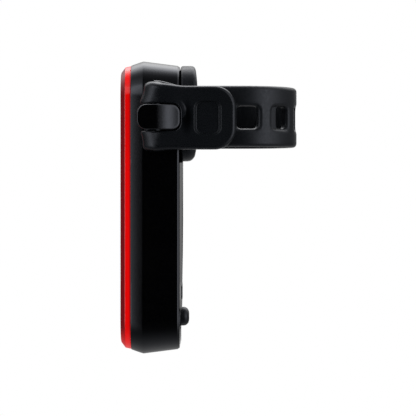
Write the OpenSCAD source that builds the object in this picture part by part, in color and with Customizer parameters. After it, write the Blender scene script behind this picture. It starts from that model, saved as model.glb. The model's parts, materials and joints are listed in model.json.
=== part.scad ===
// Bike rear light with a rubber ladder strap for a round seat post. All sizes in millimetres.
// The origin is on the axis of the post, at mid-height of the strap. +Z runs up the post,
// the lens faces -X, and the strap folds back over the hook on the -Y side.

/* [Post and pad] */
// Diameter of the seat post inside the loop
post_d = 30.9; // [28:0.1:36]
// Thickness of the cradle pad between the post and the back of the light
pad_t = 3.35; // [3:0.05:5]
// Height of the cradle pad
pad_h = 31; // [26:0.5:36]
// Width of the cradle pad
pad_w = 24; // [18:0.5:24]
// Height of the pad's middle above the middle of the strap
pad_rise = 1.7; // [-2:0.1:3]
// How far the lips of the pad stand out past its middle
pad_lip = 1.3; // [0.5:0.05:1.5]
// Radius of the pad's upper corners, which follow the body's
pad_top_r = 9.4; // [4:0.1:11]
// Radius of the pad's lower corners
pad_low_r = 5; // [2:0.1:8]

/* [Strap] */
// Width of the strap, along the post
strap_w = 20.2; // [19:0.1:23]
// Thickness of the strap band
strap_t = 3; // [2.6:0.1:3.4]
// Thickness of the folded tail
tail_t = 2.8; // [2.4:0.1:3.4]
// Width of the tail at its pull end
tail_w = 20.2; // [19:0.2:23]
// Distance of the pull end from the line across the post's axis, on the light's side
tail_short = 1.9; // [-4:0.1:4]
// Corner radius of the pull end
tail_r = 6.8; // [3:0.1:8]
// Spacing of the ladder holes along the middle of the band
hole_pitch = 11.5; // [11:0.1:13]
// Length of a ladder hole along the strap
hole_l = 6.7; // [6:0.1:7.2]
// Height of a ladder hole across the strap
hole_h = 7.2; // [5:0.1:8]
// Place of the first open ladder hole past the line across the post's axis
hole_start = 1.7; // [1:0.1:3.5]
// How far the strap's upper edge spreads where it is stretched over a hook
flare = 1.9; // [0.2:0.1:2.5]
// How far its lower edge spreads there
flare_low = 0.8; // [0.2:0.1:2.5]
// Length over which the strap comes back to its plain width
flare_l = 13; // [8:0.5:14]
// Gap between the band and the tail that lies on it
tail_gap = 0.3; // [0.2:0.05:0.5]
// Length of the thumb recess in the tail
recess_l = 6.9; // [4:0.1:7.5]
// Height of the thumb recess in the tail
recess_h = 9.5; // [6:0.1:12]
// Depth of the thumb recess
recess_d = 0.7; // [0.3:0.1:1.2]
// Distance of the recess's middle from the window for the hook
recess_gap = 7.4; // [6:0.1:8]

/* [Hook bracket] */
// Height of the hook tongues
hook_h = 8; // [6:0.1:9]
// Thickness of the hook tongues
hook_t = 2.2; // [1.6:0.1:3]
// How far a tongue reaches past the axis of the fold
hook_reach = 5.4; // [4:0.1:7]
// Corner radius of the tip of a tongue, seen from the side
hook_tip_r = 3; // [1:0.1:3]
// Slope of a tongue's back end where it dives into the strap
hook_dive = 30; // [20:1:45]
// Thickness of the bracket's plate on the back cover
plate_t = 1.8; // [1.6:0.05:2]

/* [Body] */
// Height of the body, over the ridge
body_h = 95.6; // [90:0.2:120]
// Height of the strap's middle above the middle of the body
strap_rise = 29; // [22:0.5:31]
// Room between the widest part of the body and each leg of the strap
side_room = 0.95; // [0.6:0.05:1.2]
// Corner radius of the body at the ridge, seen from behind
corner_r = 12; // [10:0.1:12.4]
// Depth of the lens in front of the housing
lens_d = 3.45; // [3:0.05:5]
// Depth of the sloping band between the lens and the ridge
front_d = 4.05; // [3.6:0.05:6]
// Depth of the housing behind the ridge
rear_d = 11.6; // [11.4:0.1:16]
// How far the outline steps in from the ridge to the lens
front_inset = 1.38; // [0.8:0.02:2.2]
// How far the outline steps in from the ridge to the back cover
rear_inset = 1.48; // [1:0.02:2]
// Depth of the back cover's edge
cover_edge = 1.3; // [1.1:0.05:1.6]
// Thickness of the housing's wall at its rear rim
wall_t = 2; // [1.7:0.1:2.3]
// Thickness of the lens
lens_t = 2; // [1.6:0.1:2.1]
// Radius of the lens's front edge
lens_edge_r = 2.3; // [1:0.1:3]
// Radius of the ridge round the housing
ridge_r = 1.2; // [0.5:0.1:4]
// Thickness of the back cover's plate
cover_t = 2.2; // [2:0.05:2.4]

/* [Controls] */
// Diameter of the push button
button_d = 6.9; // [5:0.1:7.5]
// How far the button stands out of the back
button_out = 2; // [1:0.1:3]
// Distance of the button below the middle of the body
button_drop = 35.4; // [35:0.1:36]
// Distance of the charging socket below the middle of the body
port_drop = 27.5; // [27:0.1:28]
// Width of the port plug's flap
plug_w = 12.4; // [11.6:0.1:13]
// Height of the port plug's flap
plug_h = 5; // [4.4:0.1:5.4]

/* [Inside] */
// Number of lamps
led_count = 5; // [3:1:5]
// Size of one lamp package
led_s = 2.8; // [2:0.1:3]
// Thickness of the circuit boards
board_t = 1.4; // [1:0.1:1.6]
// Height of the battery cell
cell_h = 46; // [34:1:47]
// Distance of the battery cell's middle above the middle of the body
cell_rise = 11; // [8:0.5:12]

/* [Hidden] */
$fn = 64;
arc_steps = 8;
skin = 0.05;
over = 1;
fit = 0.15;
run_gap = 0.3;

// Colours
black_satin = [0.05, 0.05, 0.055];
black_gloss = [0.03, 0.03, 0.035];
black_rubber = [0.09, 0.09, 0.095];
lens_red = [0.75, 0.02, 0.04];
reflect_red = [0.85, 0.08, 0.08];
board_green = [0.05, 0.25, 0.12];
lamp_cream = [0.95, 0.9, 0.75];
foil_silver = [0.72, 0.73, 0.75];
foam_white = [0.9, 0.9, 0.88];
wire_red = [0.6, 0.05, 0.05];
steel_grey = [0.6, 0.6, 0.62];

// Stations along X, from the post to the lens
post_r = post_d / 2;
back_x = -(post_r + pad_t);
split_x = back_x - cover_edge;
ridge_x = split_x - rear_d;
seat_x = ridge_x - front_d;
front_x = seat_x - lens_d;
inner_x = back_x - cover_t;
body_z = -strap_rise;
body_w = post_d - 2 * side_room;

// Hollow of the housing and the ledge that the lamp board rests on
cavity_in = rear_inset + wall_t;
cavity_w = body_w - 2 * cavity_in;
cavity_h = body_h - 2 * cavity_in;
cavity_r = corner_r - cavity_in;
lens_back = front_x + lens_t;
skirt_t = 1.2;
reflector_x = lens_back + run_gap;
reflector_t = 2.2;
lamp_room = 1.5;
board_x = reflector_x + reflector_t + lamp_room;
ledge_x = board_x + board_t + 2 * skin;
ledge_t = 1.5;
ledge_w = 1;
skirt_end = board_x - skin;
spigot_t = 1.2;
spigot_end = split_x - 2.5;
groove_x = split_x - 1.3;
groove_w = 0.8;
groove_d = 0.5;
shadow_w = 0.35;
shadow_d = 0.5;
cover_round = 0.85;
rim_chamfer = 0.3;
scoop_in = 2.4;
scoop_r = 1.6;
lens_step = 0.15;
front_slope = front_inset / front_d;
front_tilt = atan(front_slope);
rear_tilt = atan(rear_inset / (rear_d - rim_chamfer));
// Centre of the ridge's rounding, on the line that halves the angle between the two slopes
ridge_mean = (rear_tilt - front_tilt) / 2;
ridge_back = ridge_r / cos((front_tilt + rear_tilt) / 2);
ridge_lift = ridge_back * cos(ridge_mean);
ridge_mid = ridge_x - ridge_back * sin(ridge_mean);

// Loop, fold and hooks
leg_in = post_r;
leg_out = post_r + strap_t;
fold_r = (strap_t + tail_gap + tail_t) / 2;
fold_v = leg_in + fold_r;
hook_x = hole_start - 2 * hole_pitch;
fold_x = hook_x - hole_l / 2 - run_gap - fold_r;
tail_in = leg_out + tail_gap;
band_edge_r = 0.9;
band_inner_edge = 0.4;
open_holes = 3; // past the line across the axis
eye_h = hook_h + 2 * run_gap;
eye_right = hook_x + hole_l / 2;
hook_in = fold_r + run_gap;
tongue_in = fold_v + hook_in;
tongue_out = tongue_in + hook_t;
tip_x = fold_x - hook_reach;
tip_round = 0.9;
bend_start = 1.3;
bend_x = fold_x + bend_start;
neck_room = 1.7;
neck_right = eye_right - neck_room;
nose_r = 0.8;
bend_r = nose_r + (neck_right - bend_x - nose_r) / sin(hook_dive);
nose_y = tongue_out - bend_r + (bend_r - nose_r) * cos(hook_dive);
neck_left = fold_x + hook_in;
arm_out = leg_in - run_gap;
arm_chamfer = 1.2;
side_fit = 0.3;
plate_w = 11;
plate_h = 16;
lip_x = -post_r + pad_lip;

// Screws
thread_r = 0.95;
thread_room = 0.05;
pass_r = 1.15;
head_r = 1.75;
head_h = 1.1;
head_room = 0.15;
key_r = 0.9;
key_d = 0.6;
boss_r = 2.2;
rib_w = 2;
bracket_head_h = 0.9;
bracket_screw_z = 5.5;
bracket_boss = 2;
low_screw_in = [3.5, 6.4];
high_screw_in = 4.4;
low_screw = [cavity_w / 2 - low_screw_in[0], -cavity_h / 2 + low_screw_in[1]];
high_screw = [4.2, cavity_h / 2 - high_screw_in];
cover_screw_spots = [low_screw, [-low_screw[0], low_screw[1]], high_screw, [-high_screw[0], high_screw[1]]];
cover_screw_l = 8;

// Boards, switch and socket
link_h = 3.1;
control_x = board_x + board_t + link_h + 2 * skin;
control_back = control_x + board_t;
tab_h = 3;
tab_room = 1.5;
control_top = cell_rise - cell_h / 2 - tab_h - tab_room;
control_step = -33.5;
control_low = -39.4;
control_w = 16;
control_neck = 9.4;
control_post = [5.6, control_top - 3.5];
control_screw_l = 4.5;
link_z = control_top - 8;
link_w = 9;
link_t = 2.5;
switch_s = 6;
switch_l = 3.4;
plunger_r = 1.5;
plunger_l = 2.6;
flange_r = button_d / 2 + 1.15;
flange_t = 0.8;
stem_r = 1.5;
stem_l = 0.7;
button_round = 0.9;
switch_top = control_back + skin + switch_l;
plunger_top = inner_x - skin - flange_t - stem_l - skin;
socket_w = 8.94;
socket_h = 3.26;
socket_wall = 0.3;
socket_blade = [6.7, 0.7];
flap_t = 0.95;
pocket_x = back_x - flap_t - skin;
plug_boss_d = 0.9;
plug_boss = [7.9, 2.5];
port_w = socket_w + 2 * fit;
port_h = socket_h + 2 * fit;
hinge_y = plug_w / 2 - flap_t / 2;

// Lamps and cell
lamp_margin = 13;
led_pitch = (cavity_h - 2 * lamp_margin) / (led_count - 1);
led_t = 0.8;
cup_front = 4.3;
cup_back = 2.4;
cup_wall = 0.8;
tape_t = 0.7;
cell_x = board_x + board_t + tape_t + 2 * skin;
cell_room = 0.4;
cell_back = inner_x - bracket_boss - cell_room;
cell_t = cell_back - cell_x;
cell_side = 1.35;
cell_w = cavity_w - 2 * cell_side;
lead_r = 0.55;
lead_bend = 1.1;
lead_gap = 3.6;

function inset(i) = corner_r - i;
function arc(c, r, a0, a1, n = arc_steps) =
    [for (i = [0 : n]) let (a = a0 + (a1 - a0) * i / n) [c[0] + r * cos(a), c[1] + r * sin(a)]];
function half_body(x) = body_w / 2 - rear_inset * (x - ridge_x) / rear_d;
function spread(x, most) = most * (1 + cos(180 * min(1, max(0, (x - fold_x) / flare_l)))) / 2;
function along_flare(i) = fold_x + flare_l * i / arc_steps;
function flared(plain) = concat(
    [for (i = [0 : arc_steps]) [along_flare(i), plain + spread(along_flare(i), flare)]],
    [for (i = [arc_steps : -1 : 0]) [along_flare(i), -plain - spread(along_flare(i), flare_low)]]);

// Turns a shape drawn in the plane of the back, depth along Z, so that its depth runs along X
module along_x() {
    rotate([90, 0, 90]) children();
}

// Same, with the middle of the body as its origin
module in_body() {
    translate([0, 0, body_z]) along_x() children();
}

// Sweeps a profile (distance from the corner's centre, depth) round the body's rounded outline
module outline_sweep() {
    for (s = [0 : 3]) {
        a = s % 2 == 0 ? body_w : body_h;
        b = s % 2 == 0 ? body_h : body_w;
        rotate(90 * s)
            translate([a / 2 - corner_r, b / 2 - corner_r, 0]) {
                rotate_extrude(angle = 90) children();
                rotate([90, 0, 0]) linear_extrude(b - 2 * corner_r) children();
            }
    }
}

// Fills the middle of a swept outline between two depths
module outline_core(x0, x1) {
    translate([corner_r - body_w / 2, corner_r - body_h / 2, x0])
        cube([body_w - 2 * corner_r, body_h - 2 * corner_r, x1 - x0]);
}

module round_rect(w, h, r) {
    square([w, h - 2 * r], center = true);
    square([w - 2 * r, h], center = true);
    for (sx = [-1, 1], sy = [-1, 1])
        translate([sx * (w / 2 - r), sy * (h / 2 - r)]) circle(r);
}

module rod(r, x0, x1) {
    translate([0, 0, x0]) cylinder(r = r, h = x1 - x0);
}

// Pan-head screw along Z, seat of the head at zero
module screw(length, cap_h) {
    difference() {
        union() {
            cylinder(r = head_r, h = cap_h);
            translate([0, 0, -length]) cylinder(r = thread_r, h = length + skin);
        }
        translate([0, 0, cap_h - key_d]) cylinder(r = key_r, h = key_d + over, $fn = 6);
    }
}

module lens() {
    u1 = inset(front_inset + lens_step);
    u0 = u1 - lens_d * front_slope;
    centre_u = u0 - lens_edge_r * (sqrt(1 + front_slope * front_slope) - front_slope);
    skirt_out = inset(cavity_in + fit);
    skirt_in = skirt_out - skirt_t;
    color(lens_red) in_body() {
        outline_sweep()
            polygon(concat(
                [[0, front_x]],
                arc([centre_u, front_x + lens_edge_r], lens_edge_r, -90, -front_tilt),
                [[u1, seat_x], [skirt_out, seat_x], [skirt_out, skirt_end], [skirt_in, skirt_end],
                    [skirt_in, lens_back], [0, lens_back]]));
        outline_core(front_x, lens_back);
    }
}

module front_housing() {
    u_in = inset(cavity_in);
    color(black_satin) in_body() {
        outline_sweep()
            polygon(concat(
                [[u_in, seat_x], [inset(front_inset), seat_x]],
                arc([corner_r - ridge_lift, ridge_mid], ridge_r, -front_tilt, rear_tilt, 6),
                [[inset(rear_inset), split_x - rim_chamfer], [inset(rear_inset + rim_chamfer), split_x],
                    [u_in, split_x], [u_in, ledge_x + ledge_t], [u_in - ledge_w, ledge_x + ledge_t],
                    [u_in - ledge_w, ledge_x], [u_in, ledge_x]]));
        difference() {
            for (spot = cover_screw_spots) housing_boss(spot);
            for (spot = cover_screw_spots)
                translate(spot) rod(thread_r + thread_room, ledge_x, spigot_end);
        }
    }
}

// Screw boss with a rib to the nearest wall of the housing
module housing_boss(spot) {
    to_side = spot[1] < 0;
    side = spot[0] < 0 ? -1 : 1;
    reach = cavity_in / 2 + (to_side ? cavity_w / 2 - abs(spot[0]) : cavity_h / 2 - spot[1]);
    from_x = ledge_x + ledge_t / 2;
    to_x = spigot_end - fit;
    translate(spot) {
        rod(boss_r, from_x, to_x);
        if (to_side)
            translate([side > 0 ? 0 : -reach, -rib_w / 2, from_x]) cube([reach, rib_w, to_x - from_x]);
        else
            translate([-rib_w / 2, 0, from_x]) cube([rib_w, reach, to_x - from_x]);
    }
}

module back_cover() {
    u_edge = inset(rear_inset + fit);
    u_spigot = inset(cavity_in + fit);
    color(black_satin) in_body() difference() {
        union() {
            outline_sweep()
                polygon(concat(
                    [[0, inner_x], [u_spigot - spigot_t, inner_x], [u_spigot - spigot_t, spigot_end],
                        [u_spigot, spigot_end], [u_spigot, groove_x - groove_w / 2],
                        [u_spigot - groove_d, groove_x - groove_w / 2],
                        [u_spigot - groove_d, groove_x + groove_w / 2],
                        [u_spigot, groove_x + groove_w / 2], [u_spigot, split_x],
                        [inset(rear_inset + shadow_d), split_x],
                        [inset(rear_inset + shadow_d), split_x + shadow_w], [u_edge, split_x + shadow_w]],
                    arc([u_edge - cover_round, back_x - cover_round], cover_round, 0, 90),
                    [[0, back_x]]));
            outline_core(inner_x, back_x);
            for (spot = cover_screw_spots) translate(spot) rod(boss_r, spigot_end, inner_x + skin);
            for (s = [-1, 1]) {
                translate([s * control_post[0], control_post[1]]) rod(boss_r, control_back + skin, inner_x + skin);
                translate([0, strap_rise + s * bracket_screw_z])
                    rod(boss_r, inner_x - bracket_boss, inner_x + skin);
            }
        }
        for (spot = cover_screw_spots) translate(spot) {
            rod(pass_r, spigot_end - over, back_x + over);
            rod(head_r + head_room, back_x - head_h - fit, back_x + over);
        }
        for (s = [-1, 1]) {
            translate([s * control_post[0], control_post[1]])
                rod(thread_r + thread_room, control_back - over, inner_x + cover_t / 2);
            translate([0, strap_rise + s * bracket_screw_z])
                rod(thread_r + thread_room, inner_x - bracket_boss - over, back_x + over);
        }
        translate([0, -button_drop]) rod(button_d / 2 + run_gap, inner_x - over, back_x + over);
        for (s = [-1, 1]) translate([s * (body_w / 2 - rear_inset - fit), -button_drop, split_x + shadow_w])
            linear_extrude(cover_edge + over) round_rect(2 * scoop_in, button_d + 2 * run_gap, scoop_r);
        translate([0, -port_drop, pocket_x])
            linear_extrude(flap_t + over) round_rect(plug_w + 2 * run_gap, plug_h + 2 * run_gap, 1);
        translate([0, -port_drop, inner_x - over]) linear_extrude(cover_t + over) round_rect(port_w, port_h, 1.2);
    }
}

module cover_seal() {
    u_out = inset(cavity_in) - skin;
    color(black_rubber) in_body() outline_sweep()
        translate([u_out - fit - groove_d + 2 * skin, groove_x - groove_w / 2 + skin])
            square([fit + groove_d - 2 * skin, groove_w - 2 * skin]);
}

module cover_screws() {
    color(steel_grey) in_body()
        for (spot = cover_screw_spots)
            translate([spot[0], spot[1], back_x - head_h - fit]) screw(cover_screw_l, head_h);
}

module reflector() {
    gap = cavity_in + fit + skirt_t + run_gap;
    back = board_x - skin;
    color(reflect_red) in_body() {
        outline_sweep()
            translate([inset(gap) - cup_wall, reflector_x]) square([cup_wall, back - reflector_x]);
        difference() {
            union() {
                translate([0, 0, reflector_x])
                    linear_extrude(cup_wall) round_rect(body_w - 2 * gap, body_h - 2 * gap, inset(gap));
                for (i = [0 : led_count - 1]) translate([0, led_pitch * (i - (led_count - 1) / 2), reflector_x])
                    cylinder(r1 = cup_front + cup_wall, r2 = cup_back + cup_wall, h = back - reflector_x);
            }
            for (i = [0 : led_count - 1]) translate([0, led_pitch * (i - (led_count - 1) / 2), 0]) {
                translate([0, 0, reflector_x])
                    cylinder(r1 = cup_front, r2 = cup_back, h = back - reflector_x);
                rod(cup_front, reflector_x - over, reflector_x);
                rod(cup_back, back, back + over);
            }
        }
    }
}

module led_board() {
    gap = cavity_in + 2 * fit;
    color(board_green) in_body() translate([0, 0, board_x])
        linear_extrude(board_t) round_rect(body_w - 2 * gap, body_h - 2 * gap, inset(gap));
}

module leds() {
    color(lamp_cream) in_body()
        for (i = [0 : led_count - 1])
            translate([0, led_pitch * (i - (led_count - 1) / 2), board_x - led_t - skin]) {
                translate([-led_s / 2, -led_s / 2, 0]) cube([led_s, led_s, led_t]);
                translate([0, 0, -led_t / 4]) cylinder(r = led_s * 0.4, h = led_t / 2);
            }
}

module battery() {
    color(foil_silver) in_body() {
        translate([0, cell_rise, cell_x]) linear_extrude(cell_t) round_rect(cell_w, cell_h, 1.5);
        translate([-cell_w / 4, cell_rise - cell_h / 2 - tab_h, cell_x + cell_t / 4])
            cube([cell_w / 2, tab_h + over, cell_t / 2]);
    }
}

module battery_tape() {
    color(foam_white) in_body() translate([0, cell_rise, board_x + board_t + skin])
        linear_extrude(tape_t) square([cell_w * 0.7, cell_h * 0.8], center = true);
}

// Two wires that drop from the cell's tab and bend into the control board
module battery_leads() {
    top = cell_rise - cell_h / 2 - tab_h - skin;
    low = min(top - 1, control_top - 1.6);
    lead_x = control_back + skin + lead_bend;
    color(wire_red) in_body()
        for (s = [-1, 1]) translate([s * lead_gap / 2, 0, lead_x]) {
            translate([0, low, 0]) rotate([-90, 0, 0]) cylinder(r = lead_r, h = top - low);
            translate([0, low, -lead_bend]) rotate([0, 90, 0]) rotate([0, 0, 180])
                rotate_extrude(angle = 90) translate([lead_bend, 0]) circle(lead_r);
        }
}

module control_board() {
    color(board_green) in_body() difference() {
        translate([0, 0, control_x]) linear_extrude(board_t) {
            translate([-control_w / 2, control_step]) square([control_w, control_top - control_step]);
            translate([-control_neck / 2, control_low]) square([control_neck, control_step - control_low + over]);
        }
        for (s = [-1, 1]) translate([s * control_post[0], control_post[1]])
            rod(pass_r, control_x - over, control_back + over);
    }
}

module control_screws() {
    color(steel_grey) in_body()
        for (s = [-1, 1]) translate([s * control_post[0], control_post[1], control_x - skin])
            rotate([180, 0, 0]) screw(control_screw_l, head_h);
}

module board_link() {
    color(black_gloss) in_body()
        translate([-link_w / 2, link_z - link_t / 2, board_x + board_t + skin]) cube([link_w, link_t, link_h]);
}

module usb_socket() {
    from_x = control_back + skin;
    to_x = inner_x - skin;
    color(steel_grey) in_body() translate([0, -port_drop, 0]) {
        difference() {
            translate([0, 0, from_x]) linear_extrude(to_x - from_x) round_rect(socket_w, socket_h, 1.2);
            translate([0, 0, from_x + over]) linear_extrude(to_x - from_x)
                round_rect(socket_w - 2 * socket_wall, socket_h - 2 * socket_wall, 1);
        }
        translate([-socket_blade[0] / 2, -socket_blade[1] / 2, from_x + over - skin])
            cube([socket_blade[0], socket_blade[1], (to_x - from_x) * 0.7]);
    }
}

module tact_switch() {
    color(black_gloss) in_body() translate([0, -button_drop, control_back + skin]) difference() {
        translate([-switch_s / 2, -switch_s / 2, 0]) cube([switch_s, switch_s, switch_l]);
        translate([0, 0, 1]) cylinder(r = plunger_r + run_gap, h = switch_l);
    }
}

module switch_plunger() {
    color(wire_red) in_body() translate([0, -button_drop, 0])
        rod(plunger_r, plunger_top - plunger_l, plunger_top);
}

module button() {
    r = button_d / 2;
    top = back_x + button_out;
    seat = inner_x - skin;
    color(black_rubber) in_body() translate([0, -button_drop, 0]) rotate_extrude()
        polygon(concat(
            [[0, plunger_top + skin], [stem_r, plunger_top + skin], [stem_r, seat - flange_t],
                [flange_r, seat - flange_t], [flange_r, seat], [r, seat]],
            arc([r - button_round, top - button_round], button_round, 0, 90),
            [[0, top]]));
}

// Flap of the port plug with its boss; it swings about the rounded edge at the +Y side
module port_plug() {
    low = pocket_x + skin;
    color(black_rubber) in_body() translate([0, -port_drop, 0]) {
        translate([-plug_w / 2, 0, 0]) {
            translate([0, -plug_h / 2, low]) cube([hinge_y + plug_w / 2, plug_h, flap_t]);
            translate([plug_w / 2 - plug_boss[0] / 2, -plug_boss[1] / 2, low - plug_boss_d])
                cube([plug_boss[0], plug_boss[1], plug_boss_d + skin]);
        }
        translate([hinge_y, plug_h / 2, low + flap_t / 2]) rotate([90, 0, 0])
            cylinder(r = flap_t / 2, h = plug_h);
    }
}

// Plan of one arm and its hook: X along the light, Y outwards
module hook_plan() {
    polygon(concat(
        [[back_x, 0], [back_x, half_body(split_x) + side_fit], [neck_left, half_body(neck_left) + side_fit]],
        arc([fold_x, fold_v], hook_in, 0, 90),
        [[tip_x + tip_round, tongue_in]],
        arc([tip_x + tip_round, tongue_out - tip_round], tip_round, 180, 90),
        arc([bend_x, tongue_out - bend_r], bend_r, 90, 90 - hook_dive),
        arc([neck_right - nose_r, nose_y], nose_r, 90 - hook_dive, 0, 4),
        [[neck_right, arm_out], [back_x + plate_t - arm_chamfer, arm_out],
            [back_x + plate_t, arm_out - arm_chamfer], [back_x + plate_t, 0]]));
}

module hook_side() {
    length = back_x + plate_t + over - tip_x;
    translate([tip_x + hook_tip_r, -hook_h / 2]) square([length, hook_h]);
    translate([tip_x, -hook_h / 2 + hook_tip_r]) square([length, hook_h - 2 * hook_tip_r]);
    for (s = [-1, 1]) translate([tip_x + hook_tip_r, s * (hook_h / 2 - hook_tip_r)]) circle(hook_tip_r);
}

module hook_arm() {
    intersection() {
        translate([0, 0, -hook_h]) linear_extrude(2 * hook_h) hook_plan();
        translate([0, tongue_out + over, 0]) rotate([90, 0, 0])
            linear_extrude(tongue_out + 2 * over) hook_side();
    }
}

module hook_bracket() {
    color(black_gloss) difference() {
        union() {
            hook_arm();
            mirror([0, 1, 0]) hook_arm();
            translate([back_x, -plate_w / 2, -plate_h / 2]) cube([plate_t, plate_w, plate_h]);
        }
        for (s = [-1, 1]) translate([0, 0, s * bracket_screw_z]) along_x() {
            rod(pass_r, back_x - over, back_x + plate_t + over);
            rod(head_r + head_room, back_x + plate_t - bracket_head_h - skin, back_x + plate_t + over);
        }
    }
}

module bracket_screws() {
    color(steel_grey) for (s = [-1, 1])
        translate([back_x + plate_t - bracket_head_h - skin, 0, s * bracket_screw_z]) along_x()
            screw(cover_t + bracket_boss, bracket_head_h);
}

module pad_outline() {
    low_h = pad_h / 2;
    round_rect(pad_w, pad_h, pad_top_r);
    translate([0, (low_h - pad_h) / 2]) round_rect(pad_w, low_h, pad_low_r);
}

module post_pad() {
    pad_x = back_x + skin;
    color(black_rubber) difference() {
        translate([0, 0, pad_rise]) along_x() translate([0, 0, pad_x])
            linear_extrude(lip_x - pad_x) pad_outline();
        translate([0, 0, pad_rise - pad_h]) cylinder(r = post_r, h = 2 * pad_h, $fn = 128);
        translate([pad_x - over, -plate_w / 2 - fit, -plate_h / 2 - fit])
            cube([plate_t + fit + over, plate_w + 2 * fit, plate_h + 2 * fit]);
        translate([pad_x - over, -pad_w, -hook_h / 2 - fit])
            cube([plate_t + fit + over, 2 * pad_w, hook_h + 2 * fit]);
    }
}

// Cross-section of the strap: distance from the post's axis, height
module band_profile() {
    h = strap_w / 2;
    polygon(concat(
        [[leg_in, band_inner_edge - h], [leg_in + band_inner_edge, -h]],
        arc([leg_out - band_edge_r, band_edge_r - h], band_edge_r, -90, 0, 4),
        arc([leg_out - band_edge_r, h - band_edge_r], band_edge_r, 0, 90, 4),
        [[leg_in + band_inner_edge, h], [leg_in, h - band_inner_edge]]));
}

// One straight leg of the strap on the -Y side, widening towards the hook
module strap_leg() {
    plain_x = fold_x + flare_l;
    rotate([90, 0, -90]) linear_extrude(-plain_x + skin) band_profile();
    translate([0, -leg_in, 0]) rotate([90, 0, 0]) linear_extrude(strap_t)
        polygon(flared(strap_w / 2));
}

// Window in the leg for the hook's neck, open towards the fold
module leg_window() {
    translate([fold_x, -leg_out - over, -eye_h / 2])
        cube([eye_right - fold_x, strap_t + 2 * over, eye_h]);
}

module ladder_hole() {
    rotate([90, 0, 0]) translate([0, 0, leg_in - over]) linear_extrude(strap_t + 2 * over)
        round_rect(hole_l, hole_h, 1.2);
}

module strap_band() {
    mid_r = post_r + strap_t / 2;
    color(black_rubber) difference() {
        union() {
            rotate(-90) rotate_extrude(angle = 180, $fn = 128) band_profile();
            difference() {
                strap_leg();
                leg_window();
                translate([fold_x, -fold_v, -strap_w]) cylinder(r = fold_r + run_gap, h = 2 * strap_w);
                translate([fold_x - fold_r, -leg_out - over, -strap_w])
                    cube([fold_r, strap_t + 2 * over, 2 * strap_w]);
            }
            mirror([0, 1, 0]) {
                difference() {
                    strap_leg();
                    leg_window();
                    translate([fold_x - fold_r, -leg_out - over, -strap_w])
                        cube([fold_r * 1.25, strap_t + 2 * over, 2 * strap_w]);
                }
                translate([fold_x, -fold_v, 0]) fold_bar();
            }
        }
        translate([hole_start - hole_pitch, 0, 0]) ladder_hole();
        for (i = [0 : open_holes - 1]) rotate((hole_start + i * hole_pitch) / mid_r * 180 / PI) ladder_hole();
    }
}

// Round bar across the strap: the thick fixed end, and the fold on the other side
module fold_bar() {
    top = strap_w / 2 + flare;
    low = -strap_w / 2 - flare_low;
    rotate_extrude()
        polygon(concat(
            [[0, low]],
            arc([fold_r - band_edge_r, low + band_edge_r], band_edge_r, -90, 0, 4),
            arc([fold_r - band_edge_r, top - band_edge_r], band_edge_r, 0, 90, 4),
            [[0, top]]));
}

module tail_outline() {
    end_x = -tail_short;
    start_x = fold_x + flare_l;
    polygon(flared(tail_w / 2));
    translate([start_x - skin, -tail_w / 2]) square([end_x - tail_r - start_x + skin, tail_w]);
    translate([end_x - 2 * tail_r, -tail_w / 2 + tail_r]) square([2 * tail_r, tail_w - 2 * tail_r]);
    for (s = [-1, 1]) translate([end_x - tail_r, s * (tail_w / 2 - tail_r)]) circle(tail_r);
}

module strap_tail() {
    recess_x = eye_right + recess_gap;
    color(black_rubber) {
        difference() {
            translate([0, -tail_in, 0]) rotate([90, 0, 0]) linear_extrude(tail_t) tail_outline();
            translate([fold_x, -tail_in - tail_t - over, -eye_h / 2])
                cube([eye_right - fold_x, tail_t + 2 * over, eye_h]);
            translate([recess_x, -tail_in - tail_t + recess_d, 0]) rotate([90, 0, 0])
                linear_extrude(recess_d + over) round_rect(recess_l, recess_h, 2);
        }
        translate([fold_x, -fold_v, 0]) fold_bar();
    }
}

lens();
front_housing();
back_cover();
cover_seal();
cover_screws();
reflector();
led_board();
leds();
battery();
battery_tape();
battery_leads();
control_board();
control_screws();
board_link();
usb_socket();
tact_switch();
hook_bracket();
bracket_screws();
post_pad();
strap_band();
strap_tail();
button();
switch_plunger();
port_plug();
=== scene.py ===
import json
from math import asin, atan2, copysign, cos, exp, pi, radians, sin, sqrt, tan

import bmesh
import bpy
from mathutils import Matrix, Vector


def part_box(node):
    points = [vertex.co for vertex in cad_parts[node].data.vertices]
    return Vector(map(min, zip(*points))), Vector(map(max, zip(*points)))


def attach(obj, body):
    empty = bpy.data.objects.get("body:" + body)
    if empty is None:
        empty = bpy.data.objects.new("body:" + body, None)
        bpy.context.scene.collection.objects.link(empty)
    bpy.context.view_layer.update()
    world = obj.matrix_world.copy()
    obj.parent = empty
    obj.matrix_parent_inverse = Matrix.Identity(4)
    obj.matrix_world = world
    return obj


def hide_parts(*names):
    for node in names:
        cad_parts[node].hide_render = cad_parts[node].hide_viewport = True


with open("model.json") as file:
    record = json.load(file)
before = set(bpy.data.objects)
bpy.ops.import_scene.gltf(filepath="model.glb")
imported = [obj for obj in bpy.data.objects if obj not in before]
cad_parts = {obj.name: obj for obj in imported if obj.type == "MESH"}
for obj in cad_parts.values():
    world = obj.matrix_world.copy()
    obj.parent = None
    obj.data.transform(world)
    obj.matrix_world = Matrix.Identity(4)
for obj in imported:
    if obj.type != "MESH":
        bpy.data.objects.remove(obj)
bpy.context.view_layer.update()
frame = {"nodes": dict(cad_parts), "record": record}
nodes = frame["nodes"]
mm = 0.001  # lengths below are in millimetres, as in the CAD frame, and meshes are in metres


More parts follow.
